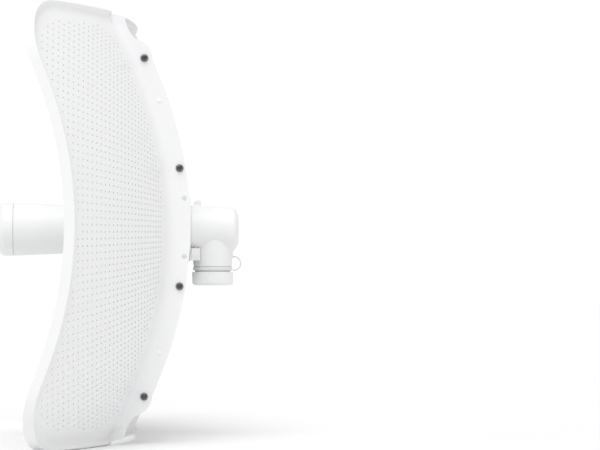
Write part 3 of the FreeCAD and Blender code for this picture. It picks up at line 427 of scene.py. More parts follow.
class SheetMesh:
    """A thin metal sheet: an open surface of welded points that gets its second face when built."""

    hole_side: float = 1.0 * MM

    def __init__(self) -> None:
        """Start with no points."""
        self.points: list[Vector] = []
        self.normals: list[Vector] = []
        self.inward: list[Vector] = []
        self.faces: list[tuple[int, ...]] = []
        self.known: dict[tuple[int, int, int], int] = {}

    def point(self, place: Vector, normal: Vector, inward: Vector) -> int:
        """Add a point, or find the one already there.

        Args:
            place: Where it is on the sheet's first face.
            normal: The first face's normal.
            inward: The way from the first face to the second.

        Returns:
            The point's number.
        """
        key = tuple(round(value * 1e6) for value in place)
        if key not in self.known:
            self.known[key] = len(self.points)
            self.points.append(place)
            self.normals.append(normal.normalized())
            self.inward.append(inward)
        return self.known[key]

    def face(self, corners: Sequence[int]) -> None:
        """Add a face through at least three different points, turned to face along their normals."""
        corners = [corner for step, corner in enumerate(corners) if corner != corners[step - 1]]
        if len(corners) < 3:
            return
        first, second, third = (self.points[corner] for corner in corners[:3])
        facing = (second - first).cross(third - second)
        if facing.dot(sum((self.normals[corner] for corner in corners), Vector())) < 0:
            corners.reverse()
        self.faces.append(tuple(corners))

    def grid(self, rows: Sequence[Sequence[int]]) -> None:
        """Join neighbouring rows of points with four-sided faces."""
        for low, high in zip(rows, rows[1:]):
            for step in range(len(low) - 1):
                self.face((low[step], low[step + 1], high[step + 1], high[step]))

    def mirrored(self) -> "SheetMesh":
        """Return the sheet's mirror image across the dish's upright middle plane."""
        other = SheetMesh()
        flip = Matrix.Diagonal((-1, 1, 1))
        other.points = [flip @ point for point in self.points]
        other.normals = [flip @ normal for normal in self.normals]
        other.inward = [flip @ inward for inward in self.inward]
        other.faces = [tuple(reversed(face)) for face in self.faces]
        return other

    def build(self, name: str) -> bpy.types.Object:
        """Return the sheet as a closed object: both faces, and a wall along every open edge."""
        count = len(self.points)
        places = self.points + [point + inward for point, inward in zip(self.points, self.inward)]
        directed = {(face[step - 1], face[step]) for face in self.faces for step in range(len(face))}
        walls = [(end, start, start + count, end + count)
                 for start, end in directed if (end, start) not in directed]
        walls.sort()
        backs = [tuple(corner + count for corner in reversed(face)) for face in self.faces]
        mesh = bpy.data.meshes.new(name)
        mesh.from_pydata([tuple(place) for place in places], [], self.faces + backs + walls)
        mesh.update()
        mesh.shade_smooth()
        first_wall = len(self.faces) * 2
        normals: list[tuple[float, float, float]] = []
        for number, polygon in enumerate(mesh.polygons):
            for corner in polygon.vertices:
                if number >= first_wall:
                    normal = polygon.normal
                elif corner >= count:
                    normal = -self.normals[corner - count]
                else:
                    normal = self.normals[corner]
                normals.append(tuple(normal))
        mesh.normals_split_custom_set(normals)
        mesh.materials.append(WHITE_COAT.material())
        mesh.materials.append(HOLE_SHADE_COAT.material())
        # The short walls round each perforation take the second material, whose darker colour is painted
        # shade in the holes.
        for polygon in list(mesh.polygons)[first_wall:]:
            start, end = (self.points[corner] for corner in sorted(polygon.vertices)[:2])
            if (end - start).length < self.hole_side:
                polygon.material_index = 1
        return new_object(name, mesh)


def arc_through(first: Pair, middle: Pair, last: Pair, steps: int) -> list[Pair]:
    """Return points along the circle's arc from first to last by way of middle."""
    (ax, ay), (bx, by), (cx, cy) = first, middle, last
    twice = 2 * (ax * (by - cy) + bx * (cy - ay) + cx * (ay - by))
    a_square, b_square, c_square = ax * ax + ay * ay, bx * bx + by * by, cx * cx + cy * cy
    centre_x = (a_square * (by - cy) + b_square * (cy - ay) + c_square * (ay - by)) / twice
    centre_y = (a_square * (cx - bx) + b_square * (ax - cx) + c_square * (bx - ax)) / twice
    radius = math.hypot(ax - centre_x, ay - centre_y)
    start = math.atan2(ay - centre_y, ax - centre_x)
    sweep = math.atan2(cy - centre_y, cx - centre_x) - start
    via = (math.atan2(by - centre_y, bx - centre_x) - start) % math.tau
    sweep %= math.tau
    if via > sweep:
        sweep -= math.tau
    return [(centre_x + radius * math.cos(start + sweep * step / steps),
             centre_y + radius * math.sin(start + sweep * step / steps)) for step in range(steps + 1)]


def circle(centre: Pair, radius: float, steps: int) -> list[Pair]:
    """Return points round a circle."""
    return [(centre[0] + radius * math.cos(math.tau * step / steps),
             centre[1] + radius * math.sin(math.tau * step / steps)) for step in range(steps)]


def joined(loops: Iterable[Sequence[Pair]]) -> tuple[list[Pair], list[tuple[int, int]]]:
    """Return the points of closed loops, and the edges between them."""
    places: list[Pair] = []
    edges: list[tuple[int, int]] = []
    for loop in loops:
        first = len(places)
        places.extend(loop)
        edges.extend((first + step, first + (step + 1) % len(loop)) for step in range(len(loop)))
    return places, edges


def bow(share: float, first: float, corner: float, last: float) -> Pair:
    """Return the height and slope of a quadratic curve at a share of its way."""
    rest = 1 - share
    height = rest * rest * first + 2 * share * rest * corner + share * share * last
    return height, 2 * rest * (corner - first) + 2 * share * (last - corner)


def ease(share: float, span: float, first: Pair, last: Pair) -> Pair:
    """Return the height and slope of a cubic curve.

    Args:
        share: The share of its way.
        span: Its length.
        first: Its height and slope at the start.
        last: Its height and slope at the end.
    """
    height = (first[0] * (2 * share**3 - 3 * share**2 + 1)
              + first[1] * span * (share**3 - 2 * share**2 + share)
              + last[1] * span * (share**3 - share**2)
              + last[0] * (3 * share**2 - 2 * share**3))
    slope = (first[0] * (6 * share**2 - 6 * share) / span
             + first[1] * (3 * share**2 - 4 * share + 1)
             + last[1] * (3 * share**2 - 2 * share)
             + last[0] * (6 * share - 6 * share**2) / span)
    return height, slope


# The dish


class Lattice(Enum):
    """How a panel's perforations are laid out."""

    FAN = "rows that fan out from a point behind the axis, crossed by circles round the axis"
    SQUARE = "square rows and columns"


@dataclass(frozen=True)
class Perforation:
    """The size and layout of a panel's holes."""

    lattice: Lattice
    radius: float = 0.98 * MM
    pitch: float = 5.5 * MM
    outer: float = 322.6 * MM
    fan_distance: float = 166 * MM
    fan_step: float = 0.0150
    columns: int = 37
    rows: int = 69
    sides: int = 8
    keep_left: float = 137 * MM
    keep_right: float = 267.5 * MM
    keep_up: float = 184 * MM
    keep_round: float = 46 * MM
    clear_middle: float = 0.0

    def tree(self, finish: bpy.types.Material) -> bpy.types.NodeTree:
        """Build the geometry nodes that fill a flat outline and leave the holes open.

        Args:
            finish: The material that the flat blank is given.

        Returns:
            A node group that takes outline edges in the XY plane.
        """
        kinds = {"Outline": "Geometry", **dict.fromkeys(self.sizes(), "Float")}
        net, inputs = geometry_group(f"perforated_blank_{self.lattice.name.lower()}", kinds, "Blank")
        outline, radius, pitch, outer, fan, step = inputs
        grid = net.wire("GeometryNodeMeshGrid", {
            "Size X": float(self.columns - 1), "Size Y": float(self.rows - 1),
            "Vertices X": self.columns, "Vertices Y": self.rows})
        column, row, _ = net.split(net.wire("GeometryNodeInputPosition"))
        if self.lattice is Lattice.FAN:
            across, up = self.fan_place(net, column, row, pitch, outer, fan, step)
        else:
            across, up = column * pitch, row * pitch
        place = net.wire("ShaderNodeCombineXYZ", {0: across, 1: up})
        laid = net.wire("GeometryNodeSetPosition", {"Geometry": grid, "Position": place})
        kept = net.wire("GeometryNodeDeleteGeometry", {"Geometry": laid, "Selection": self.outside(net)},
                        domain="POINT")
        ring = net.wire("GeometryNodeCurvePrimitiveCircle", {"Resolution": self.sides, "Radius": radius})
        holes = net.wire("GeometryNodeInstanceOnPoints", {"Points": kept, "Instance": ring})
        rings = net.wire("GeometryNodeRealizeInstances", {0: holes})
        border = net.wire("GeometryNodeMeshToCurve", {"Mesh": outline})
        join = net.node("GeometryNodeJoinGeometry")
        for curves in (rings, border):
            net.set(join.inputs[0], curves)
        filled = net.wire("GeometryNodeFillCurve", {0: Wire(net, join.outputs[0])}, mode="TRIANGLES")
        dressed = net.wire("GeometryNodeSetMaterial", {"Geometry": filled, "Material": finish})
        net.node("NodeGroupOutput", {0: dressed})
        return net.tree

    def sizes(self) -> dict[str, float]:
        """Return the values of the node group's inputs, in their order."""
        return {"Hole Radius": self.radius, "Pitch": self.pitch, "Outer Radius": self.outer,
                "Fan Distance": self.fan_distance, "Fan Step": self.fan_step}

    def fan_place(self, net: Net, column: Wire, row: Wire, pitch: Wire, outer: Wire, fan: Wire,
                  step: Wire) -> tuple[Wire, Wire]:
        """Return where row and column cross: the row's ray meets the column's circle."""
        circle_radius = outer - (column + (self.columns - 1) / 2) * pitch
        angle = row * step
        sine = net.math("SINE", angle)
        cosine = net.math("COSINE", angle)
        drop = fan * sine
        reach = fan * cosine + net.math("SQRT", circle_radius * circle_radius - drop * drop)
        return reach * cosine - fan, reach * sine

    def outside(self, net: Net) -> Wire:
        """Return 1 for the places that lie outside the patterned area."""
        across, height, _ = net.split(net.wire("GeometryNodeInputPosition"))
        up = net.math("ABSOLUTE", height)
        side = across if self.lattice is Lattice.FAN else net.math("ABSOLUTE", across)
        over_x = net.math("MAXIMUM", side - (self.keep_right - self.keep_round), 0.0)
        over_z = net.math("MAXIMUM", up - (self.keep_up - self.keep_round), 0.0)
        rim = net.math("SQRT", over_x * over_x + over_z * over_z) > self.keep_round
        near = net.math("SQRT", side * side + up * up) < self.clear_middle
        left = side < self.keep_left
        return rim + near + left

    def punch(self, loops: Iterable[Sequence[Pair]]) -> bpy.types.Mesh:
        """Return the flat blank inside the loops, with its holes punched.

        Args:
            loops: Closed loops of (across, up) points: the outline first, then any large opening.
        """
        places, edges = joined(loops)
        wireframe = bpy.data.meshes.new("blank_outline")
        wireframe.from_pydata([(across, up, 0.0) for across, up in places], edges, [])
        blank = new_object("blank_outline", wireframe)
        return run_group(blank, self.tree(WHITE_COAT.material()), self.sizes())


@dataclass
class Dish:
    """The three pressed panels of the reflector."""

    focal: float = 173 * MM
    gauge: float = 1.2 * MM
    lip: float = 10 * MM
    skirt: float = 8.7 * MM
    corner: float = 48 * MM
    soft_side: float = 1.0 * MM
    soft_end: float = 6.0 * MM
    lean: float = 0.8
    bend: float = 1.6 * MM
    fold: float = 10 * MM
    joint: float = 120 * MM
    straight: float = 156 * MM
    round_by: Pair = (5.4 * MM, 13.6 * MM)
    shoulder: Pair = (16.2 * MM, 19.5 * MM)
    scoop_by: Pair = (21.7 * MM, 27.1 * MM)
    hollow: Pair = (25.9 * MM, 40.2 * MM)
    shelf_start: float = 189 * MM
    shelf_height: float = 195.4 * MM
    shelf_back: float = 48.5 * MM
    shelf_focal: float = 300 * MM
    shelf_bend: float = 2.4 * MM
    tube_opening: float = 22 * MM
    station: float = 4 * MM
    hole_rows: tuple[tuple[float, float, float], ...] = (
        (27 * MM, 4.6 * MM, 2.6 * MM),
        (55 * MM, 5.6 * MM, 1.7 * MM),
        (157.5 * MM, 7.0 * MM, 1.7 * MM),
    )
    dimple_row: Pair = (117.5 * MM, 9.0 * MM)
    dimple_radius: float = 3.2 * MM
    dimple_rise: float = 1.0 * MM
    wing_low: Vector = field(default_factory=lambda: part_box("left_wing_reflector")[0])
    wing_high: Vector = field(default_factory=lambda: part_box("left_wing_reflector")[1])

    @property
    def half_width(self) -> float:
        """Distance from the axis to where a wing's skin turns into its lip."""
        return self.wing_high.x - self.lip

    @property
    def half_height(self) -> float:
        """Height above the axis at which the skin turns into the lip."""
        return self.wing_high.z - self.lip

    def depth(self, across: float, up: float) -> float:
        """Return Y of the reflecting surface."""
        return -(across * across + up * up) / (4 * self.focal)

    def slope(self, distance: float) -> float:
        """Return how fast the surface falls away at a distance from the axis."""
        return -2 * distance / (4 * self.focal)

    def skin_point(self, sheet: SheetMesh, across: float, up: float) -> int:
        """Add a point of the skin's back face."""
        place = Vector((across, self.depth(across, up) + self.gauge, up))
        normal = Vector((-self.slope(across), 1, -self.slope(up))).normalized()
        return sheet.point(place, normal, -self.gauge * normal.y * normal)

    def add_skin(self, sheet: SheetMesh, pattern: Perforation, loops: Sequence[Sequence[Pair]]) -> None:
        """Punch the blank and press it into the paraboloid."""
        blank = pattern.punch(loops)
        numbers = [self.skin_point(sheet, vertex.co.x, vertex.co.y) for vertex in blank.vertices]
        for polygon in blank.polygons:
            sheet.face([numbers[corner] for corner in polygon.vertices])
        bpy.data.meshes.remove(blank)

    def soft(self, out: Vector) -> float:
        """Return how far from the crease the skin starts to bend, for a rim that faces out."""
        return self.soft_side + (self.soft_end - self.soft_side) * abs(out.z)

    def rim_section(self, across: float, up: float, out: Vector) -> Iterator[Section]:
        """Give the rim's section at one place: a soft bend, the flare, the outer bend and the skirt.

        Args:
            across: Where the skin's edge is.
            up: Its height.
            out: The outward normal of the rim, in the XZ plane.

        Yields:
            Points after the first: the distance out from the skin's edge, the distance back, the
            surface's normal, and the way to the sheet's other face. The last two are (out, back) pairs.
        """
        soft = self.soft(out)
        end_slope = self.lean * abs(out.z)
        first = -math.atan(end_slope)
        reach_end = soft + (self.lip - self.bend + self.bend * math.sin(first) - soft) * abs(out.z)
        drop = self.bend * (1 - math.cos(first))
        start_x = across - soft * out.x
        start_z = up - soft * out.z
        start_slope = self.slope(start_x) * out.x + self.slope(start_z) * out.z
        start_back = self.depth(start_x, start_z) - self.depth(across, up)
        span = soft + reach_end
        soft_steps, bend_steps = 8, 5
        for step in range(1, soft_steps + 1):
            share = step / soft_steps
            back, slope = ease(share, span, (start_back, start_slope), (-drop, end_slope))
            lean = Vector((-slope, 1)).normalized()
            yield span * share - soft, back + self.gauge, lean, -self.gauge * lean.y * lean
        for step in range(bend_steps + 1):
            angle = first + (math.pi / 2 - first) * step / bend_steps
            lean = Vector((math.sin(angle), math.cos(angle)))
            reach = self.lip - self.bend + self.bend * lean.x
            yield reach, self.gauge - self.bend + self.bend * lean.y, lean, -self.gauge * lean
        for share in (0.5, 1.0):
            back = self.gauge - self.bend - share * (self.skirt + self.gauge - self.bend)
            yield self.lip, back, Vector((1, 0)), Vector((-self.gauge, 0))

    def rim_station(self, sheet: SheetMesh, across: float, up: float, out: Vector) -> list[int]:
        """Add the rim's section at one place and return its points, from the skin to the skirt's edge."""
        soft = self.soft(out)
        numbers = [self.skin_point(sheet, across - soft * out.x, up - soft * out.z)]
        base = self.depth(across, up)
        along = Vector((-out.z, self.slope(across) * -out.z + self.slope(up) * out.x, out.x))
        for reach, back, lean, inward in self.rim_section(across, up, out):
            place = Vector((across + reach * out.x, base + back, up + reach * out.z))
            normal = along.cross(Vector((out.x * lean.y, -lean.x, out.z * lean.y)))
            if normal.dot(Vector((out.x * lean.x, lean.y, out.z * lean.x))) < 0:
                normal.negate()
            turned_in = Vector((out.x * inward.x, inward.y, out.z * inward.x))
            numbers.append(sheet.point(place, normal, turned_in))
        return numbers

    def run(self, start: float, end: float) -> list[float]:
        """Divide a straight stretch into stations."""
        steps = max(1, round(abs(end - start) / self.station))
        return [start + (end - start) * step / steps for step in range(steps + 1)]

    def wing_rim(self) -> list[Station]:
        """Return the rim's stations, from the foot of the flange round to its top."""
        right, top, corner = self.half_width, self.half_height, self.corner
        widths = self.run(self.joint + self.fold, right - corner)
        side_edge = [(right, up, Vector((1, 0, 0))) for up in self.run(corner - top, top - corner)]
        top_edge = [(across, top, Vector((0, 0, 1))) for across in reversed(widths)]
        stations = [(across, -top, Vector((0, 0, -1))) for across in widths]
        corner_steps = 18
        for side, after in ((-1, side_edge), (1, top_edge)):
            for step in range(1, corner_steps):
                angle = math.pi / 2 * step / corner_steps
                if side < 0:
                    angle = math.pi / 2 - angle
                out = Vector((math.cos(angle), 0, side * math.sin(angle)))
                stations.append((right - corner + corner * out.x,
                                 side * (top - corner) + corner * out.z, out))
            stations.extend(after)
        return stations

    def add_rim(self, sheet: SheetMesh, stations: Sequence[Station]) -> None:
        """Sweep the rim's section along its stations."""
        sheet.grid([self.rim_station(sheet, *station) for station in stations])

    def add_fold(self, sheet: SheetMesh, side: int, heights: Sequence[float]) -> None:
        """Turn the skin back into a flange.

        Args:
            sheet: The sheet to add to.
            side: 1 if the skin lies outside the flange, as on a wing, and -1 if it lies inside.
            heights: The stations up the fold.
        """
        plane = self.joint + side * self.gauge
        skin_x = self.joint + side * self.fold
        skin_y = self.depth(skin_x, 0) + self.gauge
        corner_y = skin_y + self.slope(skin_x) * (plane - skin_x)
        end_y = self.fold_end(side)
        steps = 8
        rows = []
        for up in heights:
            fall = self.depth(0, up)
            row = [self.skin_point(sheet, skin_x, up)]
            for step in range(1, steps + 1):
                across, run_x = bow(step / steps, skin_x, plane, plane)
                back, run_y = bow(step / steps, skin_y, corner_y, end_y)
                normal = Vector((run_y, -run_x, self.slope(up) * run_x)) * side
                inward = Vector((-normal.x, -normal.y, 0)).normalized() * self.gauge
                row.append(sheet.point(Vector((across, back + fall, up)), normal, inward))
            rows.append(row)
        sheet.grid(rows)

    def fold_end(self, side: int) -> float:
        """Return Y, at the axis's height, where the fold becomes the flat flange."""
        plane = self.joint + side * self.gauge
        return self.depth(plane, 0) + self.gauge + self.fold * 0.8

    def flange_outline(self, side: int, heights: Sequence[float]) -> list[Pair]:
        """Return the flange's outline as (Y, Z) points."""
        inner = self.fold_end(side)
        front = [(inner + self.depth(0, up), up) for up in heights]
        end = self.half_height + self.lip * 0.8
        tip = (self.depth(self.joint, end) + self.gauge / 2, end)
        root = (self.depth(self.joint, heights[-1]) + self.gauge / 2, heights[-1])
        edge = self.depth(0, self.straight)
        by, shoulder, scoop_by, hollow = ((edge - inset, self.straight + rise) for inset, rise in (
            self.round_by, self.shoulder, self.scoop_by, self.hollow))
        round_end = arc_through((edge, self.straight), by, shoulder, 12)
        scoop = arc_through(shoulder, scoop_by, hollow, 10)
        upper = [root, tip, *scoop[::-1], *round_end[-2::-1]]
        back = [(self.depth(0, up), up) for up in self.run(self.straight, -self.straight)[1:-1]]
        lower = [(y, -up) for y, up in reversed(upper)]
        return front + upper + back + lower

    def add_flange(self, sheet: SheetMesh, side: int, heights: Sequence[float]) -> None:
        """Add the flat flange with its screw and mounting holes."""
        plane = self.joint + side * self.gauge
        holes = [((self.depth(0, up) - inset, up), radius)
                 for height, inset, radius in self.hole_rows for up in (height, -height)]
        loops = [self.flange_outline(side, heights)] + [circle(*hole, 24) for hole in holes]
        places, edges = joined(loops)
        weld = 1e-7
        flat, _, triangles, *_ = delaunay_2d_cdt([Vector(place) for place in places], edges, [], 2, weld)
        numbers = [sheet.point(Vector((plane, point.x, point.y)), Vector((side, 0, 0)),
                               Vector((-side * self.gauge, 0, 0))) for point in flat]
        for triangle in triangles:
            middle = sum((flat[corner] for corner in triangle), Vector((0, 0))) / len(triangle)
            if all(math.dist(middle, centre) > radius * 0.9 for centre, radius in holes):
                sheet.face([numbers[corner] for corner in triangle])

    def add_dimples(self, sheet: SheetMesh) -> None:
        """Add the small domes pressed out of a wing's flange."""
        height, inset = self.dimple_row
        radius, rise = self.dimple_radius, self.dimple_rise
        rings, sides = 6, 32
        sunk = 0.02 * MM
        for up in (height, -height):
            centre = Vector((self.joint + self.gauge, self.depth(0, up) - inset, up))
            rows = []
            for ring in range(rings + 1):
                share = ring / rings
                lift = rise * (0.5 + 0.5 * math.cos(math.pi * share)) - sunk
                tilt = rise * math.pi / 2 * math.sin(math.pi * share) / radius
                row = []
                for step in range(sides + 1):
                    angle = math.tau * step / sides
                    spread = Vector((0, math.cos(angle), math.sin(angle)))
                    place = centre + spread * radius * share + Vector((lift, 0, 0))
                    row.append(sheet.point(place, Vector((1, 0, 0)) + spread * tilt,
                                           Vector((-self.gauge / 2, 0, 0))))
                rows.append(row)
            sheet.grid(rows)

    def wing(self) -> SheetMesh:
        """Return the left wing's sheet."""
        sheet = SheetMesh()
        stations = self.wing_rim()
        inner = self.half_height - self.soft_end
        heights = self.run(-inner, inner)
        skin_edge = [(across - self.soft(out) * out.x, up - self.soft(out) * out.z)
                     for across, up, out in stations]
        outline = skin_edge + [(self.joint + self.fold, up) for up in heights[-2:0:-1]]
        self.add_skin(sheet, Perforation(Lattice.FAN), [outline])
        self.add_rim(sheet, stations)
        self.add_fold(sheet, 1, heights)
        self.add_flange(sheet, 1, heights)
        for side in (1, -1):
            ends = [(across, side * self.half_height, Vector((0, 0, side)))
                    for across in self.run(self.joint + self.gauge * 0.5, self.joint + self.fold)]
            self.add_rim(sheet, ends)
        self.add_dimples(sheet)
        return sheet

    def add_shelf(self, sheet: SheetMesh, side: int, widths: Sequence[float]) -> None:
        """Turn the centre panel's upper or lower edge to the back.

        Args:
            sheet: The centre panel's sheet.
            side: 1 for the upper edge and -1 for the lower one.
            widths: The stations along the edge.
        """
        start = self.shelf_start
        level = self.shelf_height - self.gauge
        steps = 7
        rows = []
        for across in widths:
            first = self.depth(across, start) + self.gauge
            corner = first + self.slope(start) * (level - start)
            last = corner + self.shelf_bend
            row = [self.skin_point(sheet, across, side * start)]
            for step in range(1, steps + 1):
                back, run_y = bow(step / steps, first, corner, last)
                up, run_z = bow(step / steps, start, level, level)
                normal = Vector((0, run_z, -run_y * side)).normalized()
                row.append(sheet.point(Vector((across, back, side * up)), normal, -self.gauge * normal))
            end = -self.shelf_back - across * across / (4 * self.shelf_focal)
            row.append(sheet.point(Vector((across, end, side * level)), Vector((0, 0, -side)),
                                   Vector((0, 0, side * self.gauge))))
            rows.append(row)
        sheet.grid(rows)

    def centre(self) -> SheetMesh:
        """Return the centre panel's sheet."""
        sheet = SheetMesh()
        edge = self.joint - self.fold
        top = self.shelf_start
        heights = self.run(-top, top)
        widths = self.run(-edge, edge)
        outline = [(across, -top) for across in widths] + [(edge, up) for up in heights[1:]]
        outline += [(across, top) for across in widths[-2::-1]] + [(-edge, up) for up in heights[-2:0:-1]]
        opening = circle((0.0, 0.0), self.tube_opening, 64)
        pattern = Perforation(Lattice.SQUARE, columns=37, rows=65, outer=0.0, keep_left=-1.0,
                              keep_right=100 * MM, keep_up=176 * MM, keep_round=1 * MM,
                              clear_middle=46 * MM)
        self.add_skin(sheet, pattern, [outline, opening])
        for side in (1, -1):
            self.add_shelf(sheet, side, widths)
        half = SheetMesh()
        self.add_fold(half, -1, heights)
        self.add_flange(half, -1, heights)
        for side in (1, -1):
            self.add_shelf(half, side, self.run(edge, self.joint - self.gauge * 1.5))
        for part in (half, half.mirrored()):
            numbers = [sheet.point(*entry) for entry in zip(part.points, part.normals, part.inward)]
            for face in part.faces:
                sheet.face([numbers[corner] for corner in face])
        return sheet

    def make(self) -> None:
        """Make the three panels and hand them to the frame."""
        left = self.wing()
        pieces = (
            (left.build("left_wing_panel"), "left_wing_reflector"),
            (left.mirrored().build("right_wing_panel"), "right_wing_reflector"),
            (self.centre().build("centre_panel"), "center_reflector"),
        )
        for piece, node in pieces:
            settle(piece, "dish", "painted_sheet", [node])


Ring = list[bmesh.types.BMVert]


def ring_of(bm: bmesh.types.BMesh, along: float, radius: float | Callable[[float], float], sides: int,
            start: float = 0.0) -> Ring:
    """Add points round the X axis.

    Args:
        bm: The mesh to add to.
        along: The ring's X.
        radius: One radius, or a radius for each angle.
        sides: How many points.
        start: The first point's angle.
    """
    ring = []
    for step in range(sides):
        angle = math.tau * step / sides + start
        reach = radius(angle) if callable(radius) else radius
        ring.append(bm.verts.new((along, reach * math.cos(angle), reach * math.sin(angle))))
    return ring


def bridge(bm: bmesh.types.BMesh, rings: Sequence[Ring]) -> None:
    """Join neighbouring rings with faces."""
    for low, high in zip(rings, rings[1:]):
        for step in range(len(low)):
            after = (step + 1) % len(low)
            corners = list(dict.fromkeys((low[step], high[step], high[after], low[after])))
            if len(corners) > 2:
                bm.faces.new(corners)


def turned(bm: bmesh.types.BMesh, outline: Sequence[Pair], sides: int) -> list[Ring]:
    """Turn an outline of (along X, radius) points round the X axis, closed where the radius is zero."""
    rings = [ring_of(bm, along, radius, sides) if radius else [bm.verts.new((along, 0, 0))] * sides
             for along, radius in outline]
    bridge(bm, rings)
    return rings


@dataclass
class FlangeFasteners:
    """The screws, washers and nuts of both flanges, copied onto their places by geometry nodes."""

    dish: Dish
    head: float = 3.0 * MM
    rise: float = 2.3 * MM
    shank: float = 1.5 * MM
    washer: float = 3.8 * MM
    washer_gauge: float = 0.6 * MM
    nut: float = 3.17 * MM
    nut_height: float = 2.4 * MM
    tail: float = 1.4 * MM
    sides: int = 20
    crown: tuple[Pair, ...] = ((0.45, 1.0), (0.72, 0.93), (0.92, 0.76), (1.0, 0.56))
    recess: tuple[Pair, ...] = ((0.0, 0.86), (0.5, 0.72), (1.0, 0.66))
    recess_depth: float = 2.3 * MM * 0.55
    star: float = 0.26

    def screw(self) -> bpy.types.Mesh:
        """Model a pan-head screw along X, with a star recess and a thread of plain rings."""
        seat = self.dish.joint + self.dish.gauge + self.washer_gauge
        end = self.dish.joint - self.dish.gauge - self.nut_height - self.tail
        top = seat + self.rise
        outline = [(end, 0), (end, self.shank * 0.75)]
        threads = 9
        pitch = (seat - end - 0.6 * MM) / threads
        for turn in range(threads):
            low = end + 0.3 * MM + turn * pitch
            outline.extend([(low, self.shank * 0.84), (low + pitch / 2, self.shank)])
        outline += [(seat, self.shank), (seat, self.head * 0.96), (seat + 0.15 * MM, self.head)]
        outline += [(seat + self.rise * rise, self.head * width) for rise, width in self.crown]
        bm = bmesh.new()
        rim = turned(bm, outline, self.sides)[-1]
        walls = []
        for depth, scale in self.recess:
            size = self.head * 0.5 * scale * (1.0 if depth == 0 else 0.84)
            walls.append(ring_of(bm, top - depth * self.recess_depth,
                                 lambda angle: size * (1.0 + self.star * math.cos(4 * angle)),
                                 self.sides, -math.pi))
        start = min(range(self.sides), key=lambda number: math.dist(rim[number].co, walls[0][0].co))
        bridge(bm, [rim[start:] + rim[:start], *walls])
        bm.faces.new(list(reversed(walls[-1])))
        return self.mesh("screw_model", bm)

    def washer_ring(self) -> bpy.types.Mesh:
        """Model a plain washer along X."""
        low = self.dish.joint + self.dish.gauge
        high = low + self.washer_gauge
        edge = 0.12 * MM
        outline = [(low, self.shank + 0.1 * MM), (low, self.washer - edge), (low + edge, self.washer),
                   (high - edge, self.washer), (high, self.washer - edge), (high, self.shank + 0.1 * MM),
                   (low, self.shank + 0.1 * MM)]
        bm = bmesh.new()
        turned(bm, outline, 28)
        return self.mesh("washer_model", bm)

    def nut_ring(self) -> bpy.types.Mesh:
        """Model a hexagon nut along X, with chamfered corners."""
        high = self.dish.joint - self.dish.gauge
        low = high - self.nut_height
        bm = bmesh.new()
        chamfer = 0.25 * MM
        levels = ((low, 0.93), (low + chamfer, 1.0), (high - chamfer, 1.0), (high, 0.93))
        sides = 24

        def flat(angle: float) -> float:
            return self.nut * (math.cos(math.pi / 6) / math.cos((angle % (math.pi / 3)) - math.pi / 6))

        rings = [ring_of(bm, along, lambda angle: min(flat(angle), self.nut * scale), sides)
                 for along, scale in levels]
        rings += [ring_of(bm, along, self.shank, sides) for along in (high, low)]
        bridge(bm, [*rings, rings[0]])
        return self.mesh("nut_model", bm)

    def mesh(self, name: str, bm: bmesh.types.BMesh) -> bpy.types.Mesh:
        """Weld, face outward and return a model's mesh."""
        bmesh.ops.remove_doubles(bm, verts=bm.verts, dist=1e-7)
        bmesh.ops.recalc_face_normals(bm, faces=bm.faces)
        made = bpy.data.meshes.new(name)
        bm.to_mesh(made)
        bm.free()
        return made

    def tree(self) -> bpy.types.NodeTree:
        """Build the geometry nodes that put a model on both ends of each of two rows."""
        kinds = {"Model": "Geometry", **dict.fromkeys(self.rows(), "Float"), "Finish": "Material"}
        net, inputs = geometry_group("fastener_rows", kinds, "Fasteners")
        model, inner, inner_inset, outer, outer_inset, focal, finish = inputs
        rows = net.wire("GeometryNodeMeshLine", {"Count": 4}, mode="OFFSET")
        number = net.wire("GeometryNodeInputIndex")
        is_outer = (number < 0.5) + (number > 2.5)
        side = (number > 1.5) * 2.0 - 1.0
        height = inner + (outer - inner) * is_outer
        inset = inner_inset + (outer_inset - inner_inset) * is_outer
        back = 0.0 - height * height / (4.0 * focal) - inset
        place = net.wire("ShaderNodeCombineXYZ", {1: back, 2: height * side})
        laid = net.wire("GeometryNodeSetPosition", {"Geometry": rows, "Position": place})
        turn = net.wire("FunctionNodeRandomValue", {"Min": -0.9, "Max": 0.9, "ID": number, "Seed": 5}, 1,
                        data_type="FLOAT")
        spin = net.wire("ShaderNodeCombineXYZ", {0: turn})
        copies = net.wire("GeometryNodeInstanceOnPoints",
                          {"Points": laid, "Instance": model, "Rotation": spin})
        plain = net.wire("GeometryNodeRealizeInstances", {0: copies})
        dressed = net.wire("GeometryNodeSetMaterial", {"Geometry": plain, "Material": finish})
        net.node("NodeGroupOutput", {0: dressed})
        return net.tree

    def rows(self) -> dict[str, float]:
        """Return the values of the node group's sizes, in their order."""
        _, (inner, inner_inset, _), (outer, outer_inset, _) = self.dish.hole_rows
        return {"Inner Height": inner, "Inner Inset": inner_inset, "Outer Height": outer,
                "Outer Inset": outer_inset, "Focal Length": self.dish.focal}

    def place(self, tree: bpy.types.NodeTree, name: str, model: bpy.types.Mesh,
              finish: Finish) -> bpy.types.Mesh:
        """Return a model's four copies as one plain mesh."""
        copies = run_group(new_object(name, model), tree, {**self.rows(), "Finish": finish.material()})
        copies.shade_smooth()
        return copies

    def make(self) -> None:
        """Make both flanges' fasteners."""
        tree = self.tree()
        for plural, model, finish in (("screws", self.screw(), SCREW_STEEL),
                                      ("washers", self.washer_ring(), STAINLESS),
                                      ("nuts", self.nut_ring(), STAINLESS)):
            left = self.place(tree, plural, model, finish)
            left.set_sharp_from_angle(angle=math.radians(32))
            right = left.copy()
            right.transform(Matrix.Diagonal((-1, 1, 1, 1)))
            right.flip_normals()
            for side, mesh in (("left", left), ("right", right)):
                settle(new_object(f"{side}_{plural}", mesh), "dish", "stainless",
                       [f"{side}_flange_{plural}"])


# Mouldings


